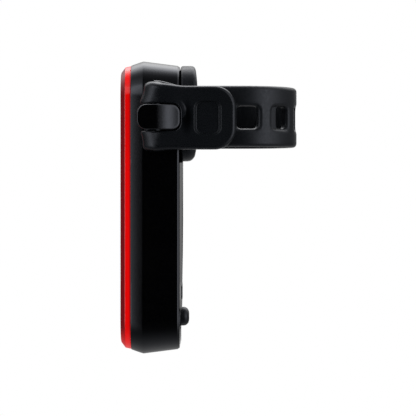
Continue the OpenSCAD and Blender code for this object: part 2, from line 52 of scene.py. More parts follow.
class Wire:  # one socket of a shader tree; sums on it add Math nodes
    def __init__(self, tree, socket=None):
        self.tree = tree
        self.socket = socket

    def node(self, kind, settings=None, sockets=None, out=0):  # settings first, then sockets
        made = self.tree.nodes.new("ShaderNode" + kind)
        for name, value in (settings or {}).items():
            if name == "stops":
                setStops(made.color_ramp, value)
            else:
                setattr(made, name, value)
        for name, value in (sockets or {}).items():
            if isinstance(value, Wire):
                self.tree.links.new(value.socket, made.inputs[name])
            else:
                made.inputs[name].default_value = value
        return Wire(self.tree, made.outputs[out] if made.outputs else None)

    def math(self, operation, first, second):
        return self.node("Math", {"operation": operation}, {0: first, 1: second})

    def __add__(self, other):
        return self.math("ADD", self, other)

    def __radd__(self, other):
        return self.math("ADD", other, self)

    def __sub__(self, other):
        return self.math("SUBTRACT", self, other)

    def __rsub__(self, other):
        return self.math("SUBTRACT", other, self)

    def __mul__(self, other):
        return self.math("MULTIPLY", self, other)

    def __rmul__(self, other):
        return self.math("MULTIPLY", other, self)

    def __truediv__(self, other):
        return self.math("DIVIDE", self, other)

    def __rtruediv__(self, other):
        return self.math("DIVIDE", other, self)

    def __pow__(self, other):
        return self.math("POWER", self, other)


def setStops(ramp, stops):
    while len(ramp.elements) < len(stops):
        ramp.elements.new(0.5)
    for element, (place, colour) in zip(ramp.elements, stops):
        element.position = place
        element.color = colour


def smoothStep(wire, low, high):
    settings = {"interpolation_type": "SMOOTHSTEP"}
    return wire.node("MapRange", settings, {"Value": wire, "From Min": low, "From Max": high})


def newMaterial(name):
    material = bpy.data.materials.new(name)
    material.use_nodes = True
    material.node_tree.nodes.clear()
    return material, Wire(material.node_tree)


def output(wire, shader):
    wire.node("OutputMaterial", None, {"Surface": shader})


def grain(wire, size, detail=2.0):  # noise whose features are about size millimetres wide
    place = wire.node("TexCoord", out="Object")
    return wire.node("TexNoise", None, {"Vector": place, "Scale": 1 / (size * mm), "Detail": detail})


def mixColour(wire, factor, first, second):
    return wire.node("Mix", {"data_type": "RGBA"}, {0: factor, 6: first, 7: second}, out=2)


def bump(wire, height, strength, depth):
    return wire.node("Bump", None, {"Height": height, "Strength": strength, "Distance": depth * mm})


# Finishes


def distance(wire, place, scale, centre):  # from a centre in millimetres, with each axis scaled
    sized = wire.node("VectorMath", {"operation": "MULTIPLY"}, {0: place, 1: scale})
    return wire.node("VectorMath", {"operation": "DISTANCE"}, {0: sized, 1: centre}, out="Value")


plainLook = {  # what a finish has unless it says otherwise; lengths in millimetres
    "roughSpread": 0.1,
    "grain": 0.3,
    "detail": 3.0,
    "fleck": 0.0,  # fine speckle of shine, and of tone
    "fleckTone": 0.0,
    "bump": 0.1,
    "bumpDepth": 0.02,
    "ior": 1.45,
    "tint": (1, 1, 1),
    "metal": 0.0,
    "coat": 0.0,
    "coatRough": 0.08,
}


def mouldedFinish(name, own):  # fine grain, and a faint change of tone from place to place
    look = {**plainLook, **own}
    material, wire = newMaterial(name)
    cloud = grain(wire, look["cloud"])
    fine = grain(wire, look["grain"], look["detail"])
    fleck = (fine - 0.5) * look["fleck"]
    rough = look["rough"] + (cloud - 0.5) * look["roughSpread"] + fleck
    tone = cloud - fleck * look["fleckTone"]
    colour = mixColour(wire, tone, (*look["dark"], 1), (*look["light"], 1))
    if "worn" in look:  # painted shade: a darker patch, where the rubber is also smoother
        place = wire.node("TexCoord", out="Object")
        shadePatch = 1 - smoothStep(distance(wire, place, look["wornScale"], look["worn"]), *look["wornReach"])
        lip = distance(wire, place, (1 / mm, 0, 1 / mm), look["wornLip"])
        shadePatch = shadePatch * smoothStep(lip, *look["lipReach"])
        rough = rough * (1 - shadePatch * look["wornShine"])
        colour = mixColour(wire, shadePatch * look["wornDark"], colour, (0, 0, 0, 1))
    shader = wire.node("BsdfPrincipled", None, {
        "Base Color": colour,
        "Roughness": rough,
        "IOR": look["ior"],
        "Specular Tint": (*look["tint"], 1),
        "Metallic": look["metal"],
        "Coat Weight": look["coat"],
        "Coat Roughness": look["coatRough"],
        "Normal": bump(wire, fine, look["bump"], look["bumpDepth"]),
    })
    output(wire, shader)
    return material


coolTint = (0.84, 0.88, 1)
finishes = {
    "housingSatin": {
        "dark": (0.0002, 0.0002, 0.0003), "light": (0.0005, 0.0005, 0.0007), "tint": coolTint, "ior": 1.47,
        "rough": 0.16, "roughSpread": 0.04, "cloud": 9, "grain": 0.5, "fleck": 0.2,
        "bump": 0.15, "bumpDepth": 0.03},
    "strapRubber": {
        "dark": (0.006, 0.007, 0.0086), "light": (0.0076, 0.009, 0.011), "tint": coolTint, "ior": 1.39,
        "rough": 0.39, "roughSpread": 0.06, "cloud": 6, "grain": 0.7, "fleck": 0.35, "fleckTone": 8,
        "bump": 0.45, "bumpDepth": 0.05},
    "tailRubber": {
        "dark": (0.0054, 0.0064, 0.008), "light": (0.0068, 0.008, 0.01), "tint": coolTint, "ior": 1.39,
        "rough": 0.29, "roughSpread": 0.06, "cloud": 6, "grain": 0.6, "fleck": 0.3, "fleckTone": 8,
        "bump": 0.35, "bumpDepth": 0.04,
        # painted shade beside the hook's end, in a patch that is also smoother
        "worn": (-17.5, -21.5, -0.1), "wornScale": (1000, 1000, 400), "wornReach": (0.3, 2.7),
        "wornLip": (-20, 0, 1.5), "lipReach": (1.9, 2.4), "wornShine": 0.7, "wornDark": 0.8},
    "hookGloss": {
        "dark": (0.0006, 0.0006, 0.0008), "light": (0.0011, 0.0011, 0.0014), "tint": coolTint, "ior": 1.53,
        "rough": 0.17, "roughSpread": 0.04, "cloud": 5, "grain": 0.6, "fleck": 0.25,
        "bump": 0.25, "bumpDepth": 0.03},
    "reflectorRed": {
        "dark": (0.5, 0.004, 0.006), "light": (0.68, 0.008, 0.01), "rough": 0.16, "roughSpread": 0.06,
        "cloud": 4, "grain": 0.5, "bump": 0.05, "coat": 0.6},
    "boardGreen": {
        "dark": (0.012, 0.09, 0.04), "light": (0.03, 0.17, 0.08), "rough": 0.35, "cloud": 1.5,
        "bumpDepth": 0.03},
    "lampCream": {
        "dark": (0.75, 0.66, 0.4), "light": (0.9, 0.82, 0.6), "rough": 0.2, "roughSpread": 0.06,
        "cloud": 1, "bump": 0.05, "coat": 0.5},
    "cellFoil": {
        "dark": (0.5, 0.51, 0.53), "light": (0.68, 0.69, 0.71), "rough": 0.32, "roughSpread": 0.15,
        "cloud": 3, "grain": 0.6, "bump": 0.2, "bumpDepth": 0.05, "metal": 1.0},
    "tapeWhite": {
        "dark": (0.68, 0.68, 0.65), "light": (0.84, 0.84, 0.81), "rough": 0.8, "cloud": 1.2,
        "bump": 0.3, "bumpDepth": 0.08},
    "wireRed": {"dark": (0.32, 0.01, 0.01), "light": (0.46, 0.02, 0.02), "rough": 0.4, "cloud": 2},
    "screwSteel": {
        "dark": (0.4, 0.4, 0.42), "light": (0.6, 0.6, 0.62), "rough": 0.3, "roughSpread": 0.12,
        "cloud": 0.8, "grain": 0.2, "bump": 0.12, "metal": 1.0},
}
materials = {name: mouldedFinish(name, look) for name, look in finishes.items()}
print("finishes made:", ", ".join(materials))


# Tools for shapes: loops of points are lofted into skins and closed with flat faces


def rounded(corners, closed=False, steps=6):  # corners are (a, b, radius); each turn becomes an arc
    points = []
    last = len(corners) - 1
    for i, (a, b, radius) in enumerate(corners):
        corner = Vector((a, b))
        if radius == 0 or (not closed and i in (0, last)):
            points.append((a, b))
            continue
        before = (Vector(corners[i - 1][:2]) - corner).normalized()
        after = (Vector(corners[(i + 1) % len(corners)][:2]) - corner).normalized()
        half = before.angle(after) / 2
        centre = corner + (before + after).normalized() * (radius / sin(half))
        start = corner + before * (radius / tan(half)) - centre
        end = corner + after * (radius / tan(half)) - centre
        turn = atan2(start.x * end.y - start.y * end.x, start.dot(end))
        first = atan2(start.y, start.x)
        for k in range(steps + 1):
            angle = first + turn * k / steps
            points.append((centre.x + radius * cos(angle), centre.y + radius * sin(angle)))
    return points


def roundRect(width, height, radius, steps=6):  # outline about its middle, counter-clockwise
    w, h = width / 2, height / 2
    corners = [(w, h, radius), (-w, h, radius), (-w, -h, radius), (w, -h, radius)]
    return rounded(corners, True, steps)


def circle(radius, steps=48):
    turn = 2 * pi / steps
    return [(radius * cos(i * turn), radius * sin(i * turn)) for i in range(steps)]


def quarter(steps, first=0):  # 1 - sine and 1 - cosine through a quarter turn
    angles = [pi / 2 * i / steps for i in range(first, steps + 1)]
    return [(1 - sin(angle), 1 - cos(angle)) for angle in angles]


def plan(box, radii, steps=8, runs=(10, 12)):  # box with its own corner radii and evenly split sides
    lowA, lowB, highA, highB = box
    corners = [(highA, highB, -1, -1), (lowA, highB, 1, -1), (lowA, lowB, 1, 1), (highA, lowB, -1, 1)]
    arcs = []
    for turned, ((a, b, inA, inB), radius) in enumerate(zip(corners, radii)):
        turns = [pi / 2 * (turned + i / steps) for i in range(steps + 1)]
        arcs.append([(a + radius * (inA + cos(t)), b + radius * (inB + sin(t))) for t in turns])
    points = []
    for turned, arc in enumerate(arcs):
        start, end = Vector(arc[-1]), Vector(arcs[(turned + 1) % 4][0])
        count = runs[turned % 2]
        points += arc + [tuple(start.lerp(end, i / count)) for i in range(1, count)]
    return points


def blendOver(value, low, high):  # smooth step between 0 at low and 1 at high
    t = min(1, max(0, (value - low) / (high - low)))
    return t * t * (3 - 2 * t)


sharpAngle = 38  # edges that turn by more stay sharp


class Skin:  # one mesh under construction, in millimetres
    def __init__(self):
        self.mesh = bmesh.new()

    def loop(self, points):
        return [self.mesh.verts.new(Vector(p) * mm) for p in points]

    def face(self, corners):
        distinct = list(dict.fromkeys(corners))
        if len(distinct) > 2 and self.mesh.faces.get(distinct) is None:
            self.mesh.faces.new(distinct)

    def loft(self, loops, around=True, along=False):
        pairs = list(zip(loops, loops[1:])) + ([(loops[-1], loops[0])] if along else [])
        for a, b in pairs:
            count = len(a)
            for i in range(count if around else count - 1):
                j = (i + 1) % count
                self.face([a[i], a[j], b[j], b[i]])

    def fill(self, *loops):  # flat face bounded by the first loop, with the others as holes
        edges = []
        for loop in loops:
            for a, b in zip(loop, loop[1:] + loop[:1]):
                edges.append(self.mesh.edges.get((a, b)) or self.mesh.edges.new((a, b)))
        bmesh.ops.triangle_fill(self.mesh, use_beauty=True, edges=edges)

    def solid(self, loops, flat=True):  # lofted, and closed at both ends
        self.loft(loops)
        close = self.face if flat else self.fill
        close(loops[0])
        close(loops[-1])

    def piece(self, name, finish, body, slot, *stoodFor):
        bmesh.ops.remove_doubles(self.mesh, verts=self.mesh.verts, dist=1e-7)
        bmesh.ops.recalc_face_normals(self.mesh, faces=self.mesh.faces)
        data = bpy.data.meshes.new(name)
        self.mesh.to_mesh(data)
        self.mesh.free()
        data.shade_smooth()
        data.set_sharp_from_angle(angle=radians(sharpAngle))
        data.materials.append(finish)
        made = bpy.data.objects.new(name, data)
        bpy.context.scene.collection.objects.link(made)
        weighted = made.modifiers.new("flatFaces", "WEIGHTED_NORMAL")
        weighted.keep_sharp = True
        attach(made, body)
        if stoodFor:
            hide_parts(*stoodFor)
        print("made", name, len(data.polygons), "faces")


def side(points, x, y=0, z=0):  # points drawn in the plane of the back, set at depth x about a middle
    return [(x, y + a, z + b) for a, b in points]


def addSlab(skin, wide, high, radius, least, profile, z=0):  # rounded outline, drawn in along a profile
    loops = []
    for x, inset in rounded(profile, steps=4):
        shape = roundRect(wide - 2 * inset, high - 2 * inset, max(least, radius - inset))
        loops.append(skin.loop(side(shape, x, 0, z)))
    skin.solid(loops)


# Body: everything in it follows one rounded outline, drawn in by an inset

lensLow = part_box("lens")[0] / mm
housingLow, housingHigh = (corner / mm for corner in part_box("front_housing"))
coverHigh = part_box("back_cover")[1] / mm

body = {
    "cornerR": 12,
    "frontInset": 1.38,  # from the ridge in to the lens
    "rearInset": 1.48,  # from the ridge in to the back cover
    "frontDepth": 4.05,  # from the lens's seat to the ridge
    "lensSlope": 0.4,  # slope of the front beside the lens; it eases towards the ridge
    "slopeSteps": 7,
    "wall": 2.0,
    "ridgeR": 0.9,
    "ridgeCut": 0.03,  # what the CAD ridge loses by its own rounding
    "seatR": 0.22,
    "rimDepth": 0.5,  # chamfer at the back edge
    "rimIn": 0.26,
    "rimOut": 0.06,  # the side flares by this before the chamfer
    "rimTurnR": 0.3,
    "rimEdgeR": 0.12,
    "cornerSteps": 24,
    "runLength": 12,  # lower part of the long sides that is split finely
    "runSteps": 30,
    "padFoot": (-14.6, -13.2),  # and the part at the pad's foot
    "padSteps": 6,
}
bodyHalfW = housingHigh.y + body["ridgeCut"]
bodyHalfH = (housingHigh.z - housingLow.z) / 2 + body["ridgeCut"]
bodyMid = (housingHigh.z + housingLow.z) / 2
frontX = lensLow.x
seatX = housingLow.x
ridgeX = seatX + body["frontDepth"]
splitX = housingHigh.x
backX = coverHigh.x
cavityIn = body["rearInset"] + body["wall"]


def outline(inset, x):
    points = []
    radius = body["cornerR"] - inset
    steps = body["cornerSteps"]
    lowCorner = bodyMid - bodyHalfH + body["cornerR"]
    run = [lowCorner + body["runLength"] * i / body["runSteps"] for i in range(1, body["runSteps"] + 1)]
    foot, head = body["padFoot"]
    run += [foot + (head - foot) * i / body["padSteps"] for i in range(body["padSteps"] + 1)]
    for turned in range(4):
        y = (bodyHalfW - body["cornerR"]) * (1 if turned in (0, 3) else -1)
        z = bodyMid + (bodyHalfH - body["cornerR"]) * (1 if turned in (0, 1) else -1)
        for i in range(steps + 1):
            angle = pi / 2 * (turned + i / steps)
            points.append((x, y + radius * cos(angle), z + radius * sin(angle)))
        if turned == 1:
            points += [(x, inset - bodyHalfW, level) for level in reversed(run)]
        if turned == 3:
            points += [(x, bodyHalfW - inset, level) for level in run]
    return points


def outlineLoops(skin, profile):
    return [skin.loop(outline(inset, x)) for inset, x in profile]


def frontSlope():  # (inset, x) from the lens to the ridge
    depth, first = body["frontDepth"], body["lensSlope"]
    last = 2 * body["frontInset"] / depth - first
    points = []
    for i in range(body["slopeSteps"]):
        d = depth * i / body["slopeSteps"]
        points.append((body["frontInset"] - first * d + (first - last) / (2 * depth) * d * d, seatX + d))
    return points


def makeHousing():
    skin = Skin()
    slope = frontSlope()
    profile = rounded([
        (*slope[0], body["seatR"]),
        *((inset, x, 0) for inset, x in slope[1:]),
        (0, ridgeX, body["ridgeR"]),
        (body["rearInset"] - body["rimOut"], splitX - body["rimDepth"], body["rimTurnR"]),
        (body["rearInset"] + body["rimIn"], splitX, body["rimEdgeR"]),
        (cavityIn, splitX, 0),
        (cavityIn, seatX, 0),
    ], True)
    skin.loft(outlineLoops(skin, profile), along=True)
    skin.piece("housing", materials["housingSatin"], "light", "housing_black", "front_housing")


lens = {
    "step": 0.15,  # inset from the housing's front edge
    "wall": 1.85,  # side wall, from the seat forwards
    "wallSlope": 0.2,
    "footZ": (-73, -67),  # painted light on the lower end, as if lit through
    "footGlow": 0.8,
    "ends": (36, 42),  # from the middle; between them the wall's painted light shows straight out and fades at a slant
    "wallR": 0.7,
    "chamfer": 1.9,  # how far the chamfer runs in
    "crown": 0.15,
    "crownR": 1.5,
    "thick": 2.0,
    "seam": 0.1,  # gap to the housing
    "flat": 7.5,  # inset at which the front turns into one flat face
    "skirt": 1.2,
    "clearRed": (0.16, 0.003, 0.005),
    "wallRed": (0.6, 0.003, 0.003),
    # painted light: emission colours that stand in for light coming through the lens
    "clearGlow": (0.06, 0.002, 0.003),
    "wallGlow": (0.49, 0.001, 0.001),
    "clearAlpha": 0.3,
    "clearFacing": (0.93, 0.99),  # how squarely the clear front faces forwards
    "wallBlend": (-0.15, 0.25),  # soft start of the wall, and its shade at the seat
    "seatBlend": (-0.75, -0.1),
    "seatShade": 0.7,
    "slantPower": 3,
    "cloud": 5,
    "rough": 0.1,
    "roughSpread": 0.04,
    "ior": 1.46,
}


def lensFinish():
    material, wire = newMaterial("lensRed")
    place = wire.node("TexCoord", out="Object")
    depth = wire.node("SeparateXYZ", None, {0: place}) * (1 / mm) - frontX
    seatDepth = seatX - frontX
    wallStart = seatX - lens["wall"] - frontX
    wall = smoothStep(depth, *(wallStart + part for part in lens["wallBlend"]))
    seat = smoothStep(depth, *(seatDepth + part for part in lens["seatBlend"]))
    faces = wire.node("SeparateXYZ", None, {0: wire.node("NewGeometry", out="Normal")})
    clear = smoothStep(wire.math("ABSOLUTE", faces, 0), *lens["clearFacing"])  # the front and its inner side
    height = wire.node("SeparateXYZ", None, {0: place}, out=2) * (1 / mm)
    foot = 1 - smoothStep(height, *lens["footZ"])
    ends = smoothStep(wire.math("ABSOLUTE", height - bodyMid, 0), *lens["ends"])
    slant = wire.node("LayerWeight", None, {"Blend": 0.5}, out="Facing")
    cloud = grain(wire, lens["cloud"])
    red = mixColour(wire, wall, (*lens["clearRed"], 1), (*lens["wallRed"], 1))
    # painted light: the wall and the lower end glow as if lit through, with painted shade at the seat
    paintedLitShare = wire.math("MAXIMUM", wall * (1 - seat * lens["seatShade"]), foot * lens["footGlow"])
    glow = mixColour(wire, paintedLitShare, (*lens["clearGlow"], 1), (*lens["wallGlow"], 1))
    # the painted light fades where the wall is seen at a slant, except near the ends
    paintedLightFade = wall * (1 - ends) * (1 - (1 - slant) ** lens["slantPower"])
    glow = mixColour(wire, paintedLightFade, glow, (0, 0, 0, 1))
    shader = wire.node("BsdfPrincipled", None, {
        "Base Color": red,
        "Roughness": lens["rough"] + (cloud - 0.5) * lens["roughSpread"],
        "IOR": lens["ior"],
        "Alpha": 1 - clear * (1 - lens["clearAlpha"]),
        "Emission Color": glow,
        "Emission Strength": 1.0,
    })
    output(wire, shader)
    return material


def makeLens():
    skin = Skin()
    edge = body["frontInset"] + lens["step"]
    corner = edge + lens["wall"] * lens["wallSlope"]
    crownX = frontX + lens["crown"]
    seat = seatX - lens["seam"]
    backFace = frontX + lens["thick"]
    inner = cavityIn + lens["skirt"]
    outer = rounded([
        (edge, seat, 0),
        (corner, seatX - lens["wall"], lens["wallR"]),
        (corner + lens["chamfer"], crownX, lens["crownR"]),
        (lens["flat"], frontX, 0),
    ], steps=8)
    loops = outlineLoops(skin, outer)
    inside = outlineLoops(skin, [(inner, backFace), (inner, seat)])
    skin.solid([*inside, *loops])
    skin.piece("lensShell", lensFinish(), "light", "lens_red", "lens")


cover = {
    "seamW": 0.13,  # shadow line between housing and cover
    "seamD": 0.4,
    "edgeIn": 0.3,
    "edgeH": 0.1,
    "edgeR": 0.08,
    "bevel": 5.0,  # broad bevel round the back, narrower at the foot
    "bevelR": 3.0,
    "footBevel": 0.51,
    "footZ": (-57, -68),
    "headZ": (6, 13),
    "thick": 2.2,
    "scoopY": 9.9,  # the scoops beside the button reach in to here
    "scoopH": 3.15,
    "scoopLean": 0.1,
    "cutSoft": 0.3,  # half the width over which a scoop or a nick fades out
    "nickH": 2.05,  # nick in the bevel beside the flap, for a nail
    "nickX": -19.3,
    "nickIn": (4.0, 6.46),
    "nickMargin": (0.5, 0.3),
    "flat": 6.8,  # inset at which the back turns into one flat face
    "taper": 0.62,  # how far the back leans forwards at its foot
    "channel": 0.4,  # depth of a shallow channel across the back at the button
    "channelH": (2.4, 3.4),
    "lean": ((0.25, -36, -56), (0.37, -59, -68)),  # in two steps, from one height to another
    "splitLength": 2.5,  # longer edges of the flat back are split, so that it can bend
    "splitCuts": 3,
    "padIn": 6.8,  # inset beside the pad, which leaves a deep groove there
    "padTopZ": (11, 15.5),
    "lip": 0.22,
    "screwR": 1.9,
    "screwDepth": 1.5,
}
screws = {
    "headR": 1.75,
    "highY": 4.2,
    "headH": 1.0,
    "roundR": 0.45,
    "socketR": 0.95,
    "socketRim": 0.2,
    "socketDepth": 0.6,
    "sunk": 0.55,
    "shankR": 0.8,
}
controls = {
    "buttonZ": -64.75,
    "buttonR": 3.08,
    "gap": 0.3,
    "portZ": -56.5,
    "pocketDepth": 1.0,
    "pocketR": 1,
    "socketOpening": (9.24, 3.56),
    "socketR": 1.2,
}
plugLow, plugHigh = (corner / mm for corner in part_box("port_plug"))
screwLow, screwHigh = (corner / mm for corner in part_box("cover_screws"))
lowScrewY = screwHigh.y - screws["headR"]
lowScrewZ = screwLow.z + screws["headR"]


def holeInBack(skin, shape, y, z, depth):  # rounded lip and wall of a hole; gives its first and last loop
    lip = cover["lip"]
    loops = []
    for out, drop in quarter(3):
        loops.append(skin.loop(side(shape(lip * out), backX - lip * drop, y, z)))
    loops.append(skin.loop(side(shape(0), backX - depth, y, z)))
    skin.loft(loops)
    return loops[0], loops[-1]


def within(away, reach):  # 1 near a cut's middle and 0 past its edge
    return 1 - blendOver(away, reach - cover["cutSoft"], reach + cover["cutSoft"])


def nickedDepth(inset, x, z):  # the back's bevel, with a nick for a nail beside the flap
    start, end = cover["nickIn"]
    nick = within(abs(z - controls["portZ"]), cover["nickH"])
    return x - nick * max(0, x - cover["nickX"]) if start < inset < end else x


def backRim(inset, x, cut):  # one line round the back, drawn in beside the pad and cut in at the button
    edge = body["rearInset"] + cover["edgeIn"]
    foot = edge + (inset - edge) * cover["footBevel"] if cut and inset > edge else inset
    byPad = max(inset, cover["padIn"]) if cut else inset
    points = []
    for plain, narrow, deep in zip(*(outline(drawn, x) for drawn in (inset, foot, byPad))):
        z = plain[2]
        beside = blendOver(z, *body["padFoot"]) * (1 - blendOver(z, *cover["padTopZ"]))
        slim = blendOver(z, *cover["footZ"]) + blendOver(z, *cover["headZ"])
        point = Vector(plain).lerp(Vector(narrow), slim).lerp(Vector(deep), beside)
        scoop = within(abs(point.z - controls["buttonZ"]), cover["scoopH"])
        if cut and abs(point.y) > cover["scoopY"]:
            wall = cover["scoopY"] + cover["scoopLean"] * (backX - x)
            point.y += scoop * (copysign(min(wall, abs(point.y)), point.y) - point.y)
        points.append((nickedDepth(inset, x, point.z), point.y, point.z))
    return points


def leanForwards(mesh):  # the foot of the back leans towards the front
    floor = splitX + cover["seamW"]
    nearBack = (backX - 0.01) * mm
    flat = [edge for edge in mesh.edges if edge.calc_length() > cover["splitLength"] * mm
            and all(vertex.co.x > nearBack for vertex in edge.verts)]
    bmesh.ops.subdivide_edges(mesh, edges=flat, cuts=cover["splitCuts"], use_grid_fill=True)
    for vertex in mesh.verts:
        share = (vertex.co.x / mm - floor) / (backX - floor)
        if share > 0:
            lean = sum(step * blendOver(vertex.co.z / mm, high, low) for step, high, low in cover["lean"])
            beside = abs(vertex.co.z / mm - controls["buttonZ"])
            lean += cover["channel"] * (1 - blendOver(beside, *cover["channelH"]))
            vertex.co.x -= lean * min(1, share) * mm


def makeCover():
    skin = Skin()
    innerX = backX - cover["thick"]
    groove = body["rearInset"] + cover["seamD"]
    edge = body["rearInset"] + cover["edgeIn"]
    rise = splitX + cover["seamW"] + cover["edgeH"]
    start, end = cover["nickIn"]
    slope = (backX - rise) / cover["bevel"]
    before, after = cover["nickMargin"]
    nick = [(i, rise + slope * (i - edge), 0) for i in (start + before, (start + end) / 2, end - after)]
    profile = rounded([
        (cavityIn, innerX, 0),
        (cavityIn, splitX, 0),
        (groove, splitX, 0),
        (groove, splitX + cover["seamW"], 0),
        (edge, splitX + cover["seamW"], 0),
        (edge, rise, cover["edgeR"]),
        *nick,
        (edge + cover["bevel"], backX, cover["bevelR"]),
        (cover["flat"], backX, 0),
    ])
    loops = [skin.loop(backRim(inset, x, k > 1)) for k, (inset, x) in enumerate(profile)]
    skin.loft(loops)
    gap, corner = controls["gap"], controls["pocketR"]
    plugW, plugH = plugHigh.y - plugLow.y + 2 * gap, plugHigh.z - plugLow.z + 2 * gap
    buttonLip, buttonEnd = holeInBack(
        skin, lambda out: circle(controls["buttonR"] + gap + out), 0, controls["buttonZ"], cover["thick"])
    portLip, pocket = holeInBack(
        skin, lambda out: roundRect(plugW + 2 * out, plugH + 2 * out, corner + out), 0, controls["portZ"],
        controls["pocketDepth"])
    lips = [buttonLip, portLip]
    for hand in (-1, 1):
        screwLip, screwFloor = holeInBack(
            skin, lambda out: circle(cover["screwR"] + out, steps=32), hand * lowScrewY, lowScrewZ,
            cover["screwDepth"])
        skin.face(screwFloor)
        lips.append(screwLip)
    opening = roundRect(*controls["socketOpening"], controls["socketR"])
    mouth = skin.loop(side(opening, backX - controls["pocketDepth"], 0, controls["portZ"]))
    throat = skin.loop(side(opening, innerX, 0, controls["portZ"]))
    skin.fill(pocket, mouth)
    skin.loft([mouth, throat])
    skin.fill(loops[-1], *lips)
    skin.fill(loops[0], buttonEnd, throat)
    leanForwards(skin.mesh)
    skin.piece("backCover", materials["housingSatin"], "light", "housing_black", "back_cover")


button = {"topR": 1.8, "dome": 0.3, "dish": 1.0, "dishR": 0.8, "dishDepth": 0.05}
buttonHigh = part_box("button")[1] / mm
tip = 0.02  # least radius of a turned shape


def makeButton():
    skin = Skin()
    radius = controls["buttonR"]
    top = buttonHigh.x
    profile = rounded([(radius, splitX, 0), (radius, top - button["dome"], button["topR"]),
                       (button["dish"], top, button["dishR"]), (tip, top - button["dishDepth"], 0)], steps=8)
    skin.solid([skin.loop(side(circle(r, steps=56), x, 0, controls["buttonZ"])) for r, x in profile])
    skin.piece("buttonCap", materials["strapRubber"], "push_button", "strap_rubber", "button")


plug = {
    "cornerR": 0.9,
    "leastR": 0.15,
    "edgeR": 0.28,
    "topIn": 1.2,
    "clear": 0.05,  # above the pocket's floor
    "boss": (7.9, 2.5),
    "bossR": 1.0,
    "bossLap": 0.1,
    "sunk": 0.18,  # the back leans a little here
}


def makePlug():
    skin = Skin()
    width, height = plugHigh.y - plugLow.y, plugHigh.z - plugLow.z
    midZ = (plugHigh.z + plugLow.z) / 2
    top = plugHigh.x - plug["sunk"]
    low = backX - controls["pocketDepth"] + plug["clear"]
    profile = [(low, 0, 0), (top, 0, plug["edgeR"]), (top, plug["topIn"], 0)]
    addSlab(skin, width, height, plug["cornerR"], plug["leastR"], profile, midZ)
    boss = roundRect(*plug["boss"], plug["bossR"])
    skin.solid([skin.loop(side(boss, x, 0, midZ)) for x in (low + plug["bossLap"], plugLow.x)])
    skin.piece("portFlap", materials["strapRubber"], "plug_flap", "strap_rubber", "port_plug")


def makeScrews():
    skin = Skin()
    head, shank, socketR = screws["headR"], screws["shankR"], screws["socketR"]
    highZ = screwHigh.z - head
    lowTop = backX - cover["taper"] - screws["sunk"]  # the low screws follow the leaning foot
    for hand in (-1, 1):
        for y, z, top in ((lowScrewY, lowScrewZ, lowTop), (screws["highY"], highZ, screwHigh.x)):
            under = top - screws["headH"]
            profile = rounded([(shank, screwLow.x, 0), (shank, under, 0), (head, under, 0),
                               (head, top, screws["roundR"]), (socketR + screws["socketRim"], top, 0)])
            loops = [skin.loop(side(circle(r, steps=36), x, hand * y, z)) for r, x in profile]
            hexagon = circle(socketR, steps=6)
            socket = [skin.loop(side(hexagon, x, hand * y, z)) for x in (top, top - screws["socketDepth"])]
            skin.loft(loops)
            skin.face(loops[0])
            skin.fill(loops[-1], socket[0])
            skin.loft(socket)
            skin.face(socket[1])
    skin.piece("backScrews", materials["screwSteel"], "light", "steel", "cover_screws")


# Pad: a block with soft edges, hollowed to the post

padLow, padHigh = (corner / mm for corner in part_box("post_pad"))
postR = frame["record"]["mounts"][0]["dims"]["r_mm"]
pad = {
    "halfW": 12.5,  # laps over the rounded edge of the back
    "lap": 0.74,
    "topRise": 0.12,
    "topR": 9.6,
    "lowR": 5.2,
    "edgeTop": 1.4,  # rounding of the post side's rim, at the top and at the foot
    "edgeLow": 2.4,
    "dropTop": 0.5,
    "dropLow": 0.85,
    "dropLength": 7,
    "backR": 0.7,
    "backSteps": 5,
    "rings": 22,
    "ringPower": 1.5,  # packs the rings towards the rim
    "middle": 0.25,
    "edgeBlend": 4,
    "leastR": 0.1,
    "soft": 0.35,  # rounds the line where the lip meets the hollow
}
padTop = padHigh.z + pad["topRise"]


def padFace(y, z, inset):  # depth of the pad's post side
    drop = pad["dropTop"] * blendOver(z, padTop - pad["dropLength"], padTop)
    drop += pad["dropLow"] * blendOver(-z, -padLow.z - pad["dropLength"], -padLow.z)
    lip = padHigh.x - drop
    high = blendOver(z, padLow.z + pad["edgeBlend"], padTop - pad["edgeBlend"])
    edge = pad["edgeLow"] + (pad["edgeTop"] - pad["edgeLow"]) * high
    if inset < edge:
        lip -= edge - sqrt(edge ** 2 - (edge - inset) ** 2)
    hollow = -sqrt(max(0.0, postR ** 2 - y ** 2))
    soft = pad["soft"]
    return min(lip, hollow) - max(0, soft - abs(lip - hollow)) ** 2 / (4 * soft)


def padOutline(inset):
    half = pad["halfW"] - inset
    top, low = (max(pad["leastR"], pad[name] - inset) for name in ("topR", "lowR"))
    return plan((-half, padLow.z + inset, half, padTop - inset), (top, top, low, low))


def makePad():
    skin = Skin()
    loops = []
    for inset, rise in quarter(pad["backSteps"]):
        x = padLow.x - pad["lap"] + pad["backR"] * rise
        loops.append(skin.loop(side(padOutline(pad["backR"] * inset), x)))
    for i in range(pad["rings"] + 1):
        inset = (pad["halfW"] - pad["middle"]) * (i / pad["rings"]) ** pad["ringPower"]
        loops.append(skin.loop([(padFace(a, b, inset), a, b) for a, b in padOutline(inset)]))
    skin.loft(loops)
    skin.face(loops[0])
    skin.fill(loops[-1])
    skin.piece("cradlePad", materials["strapRubber"], "light", "strap_rubber", "post_pad")


# Strap: one band from the near fold round the post to the far end, and the folded tail

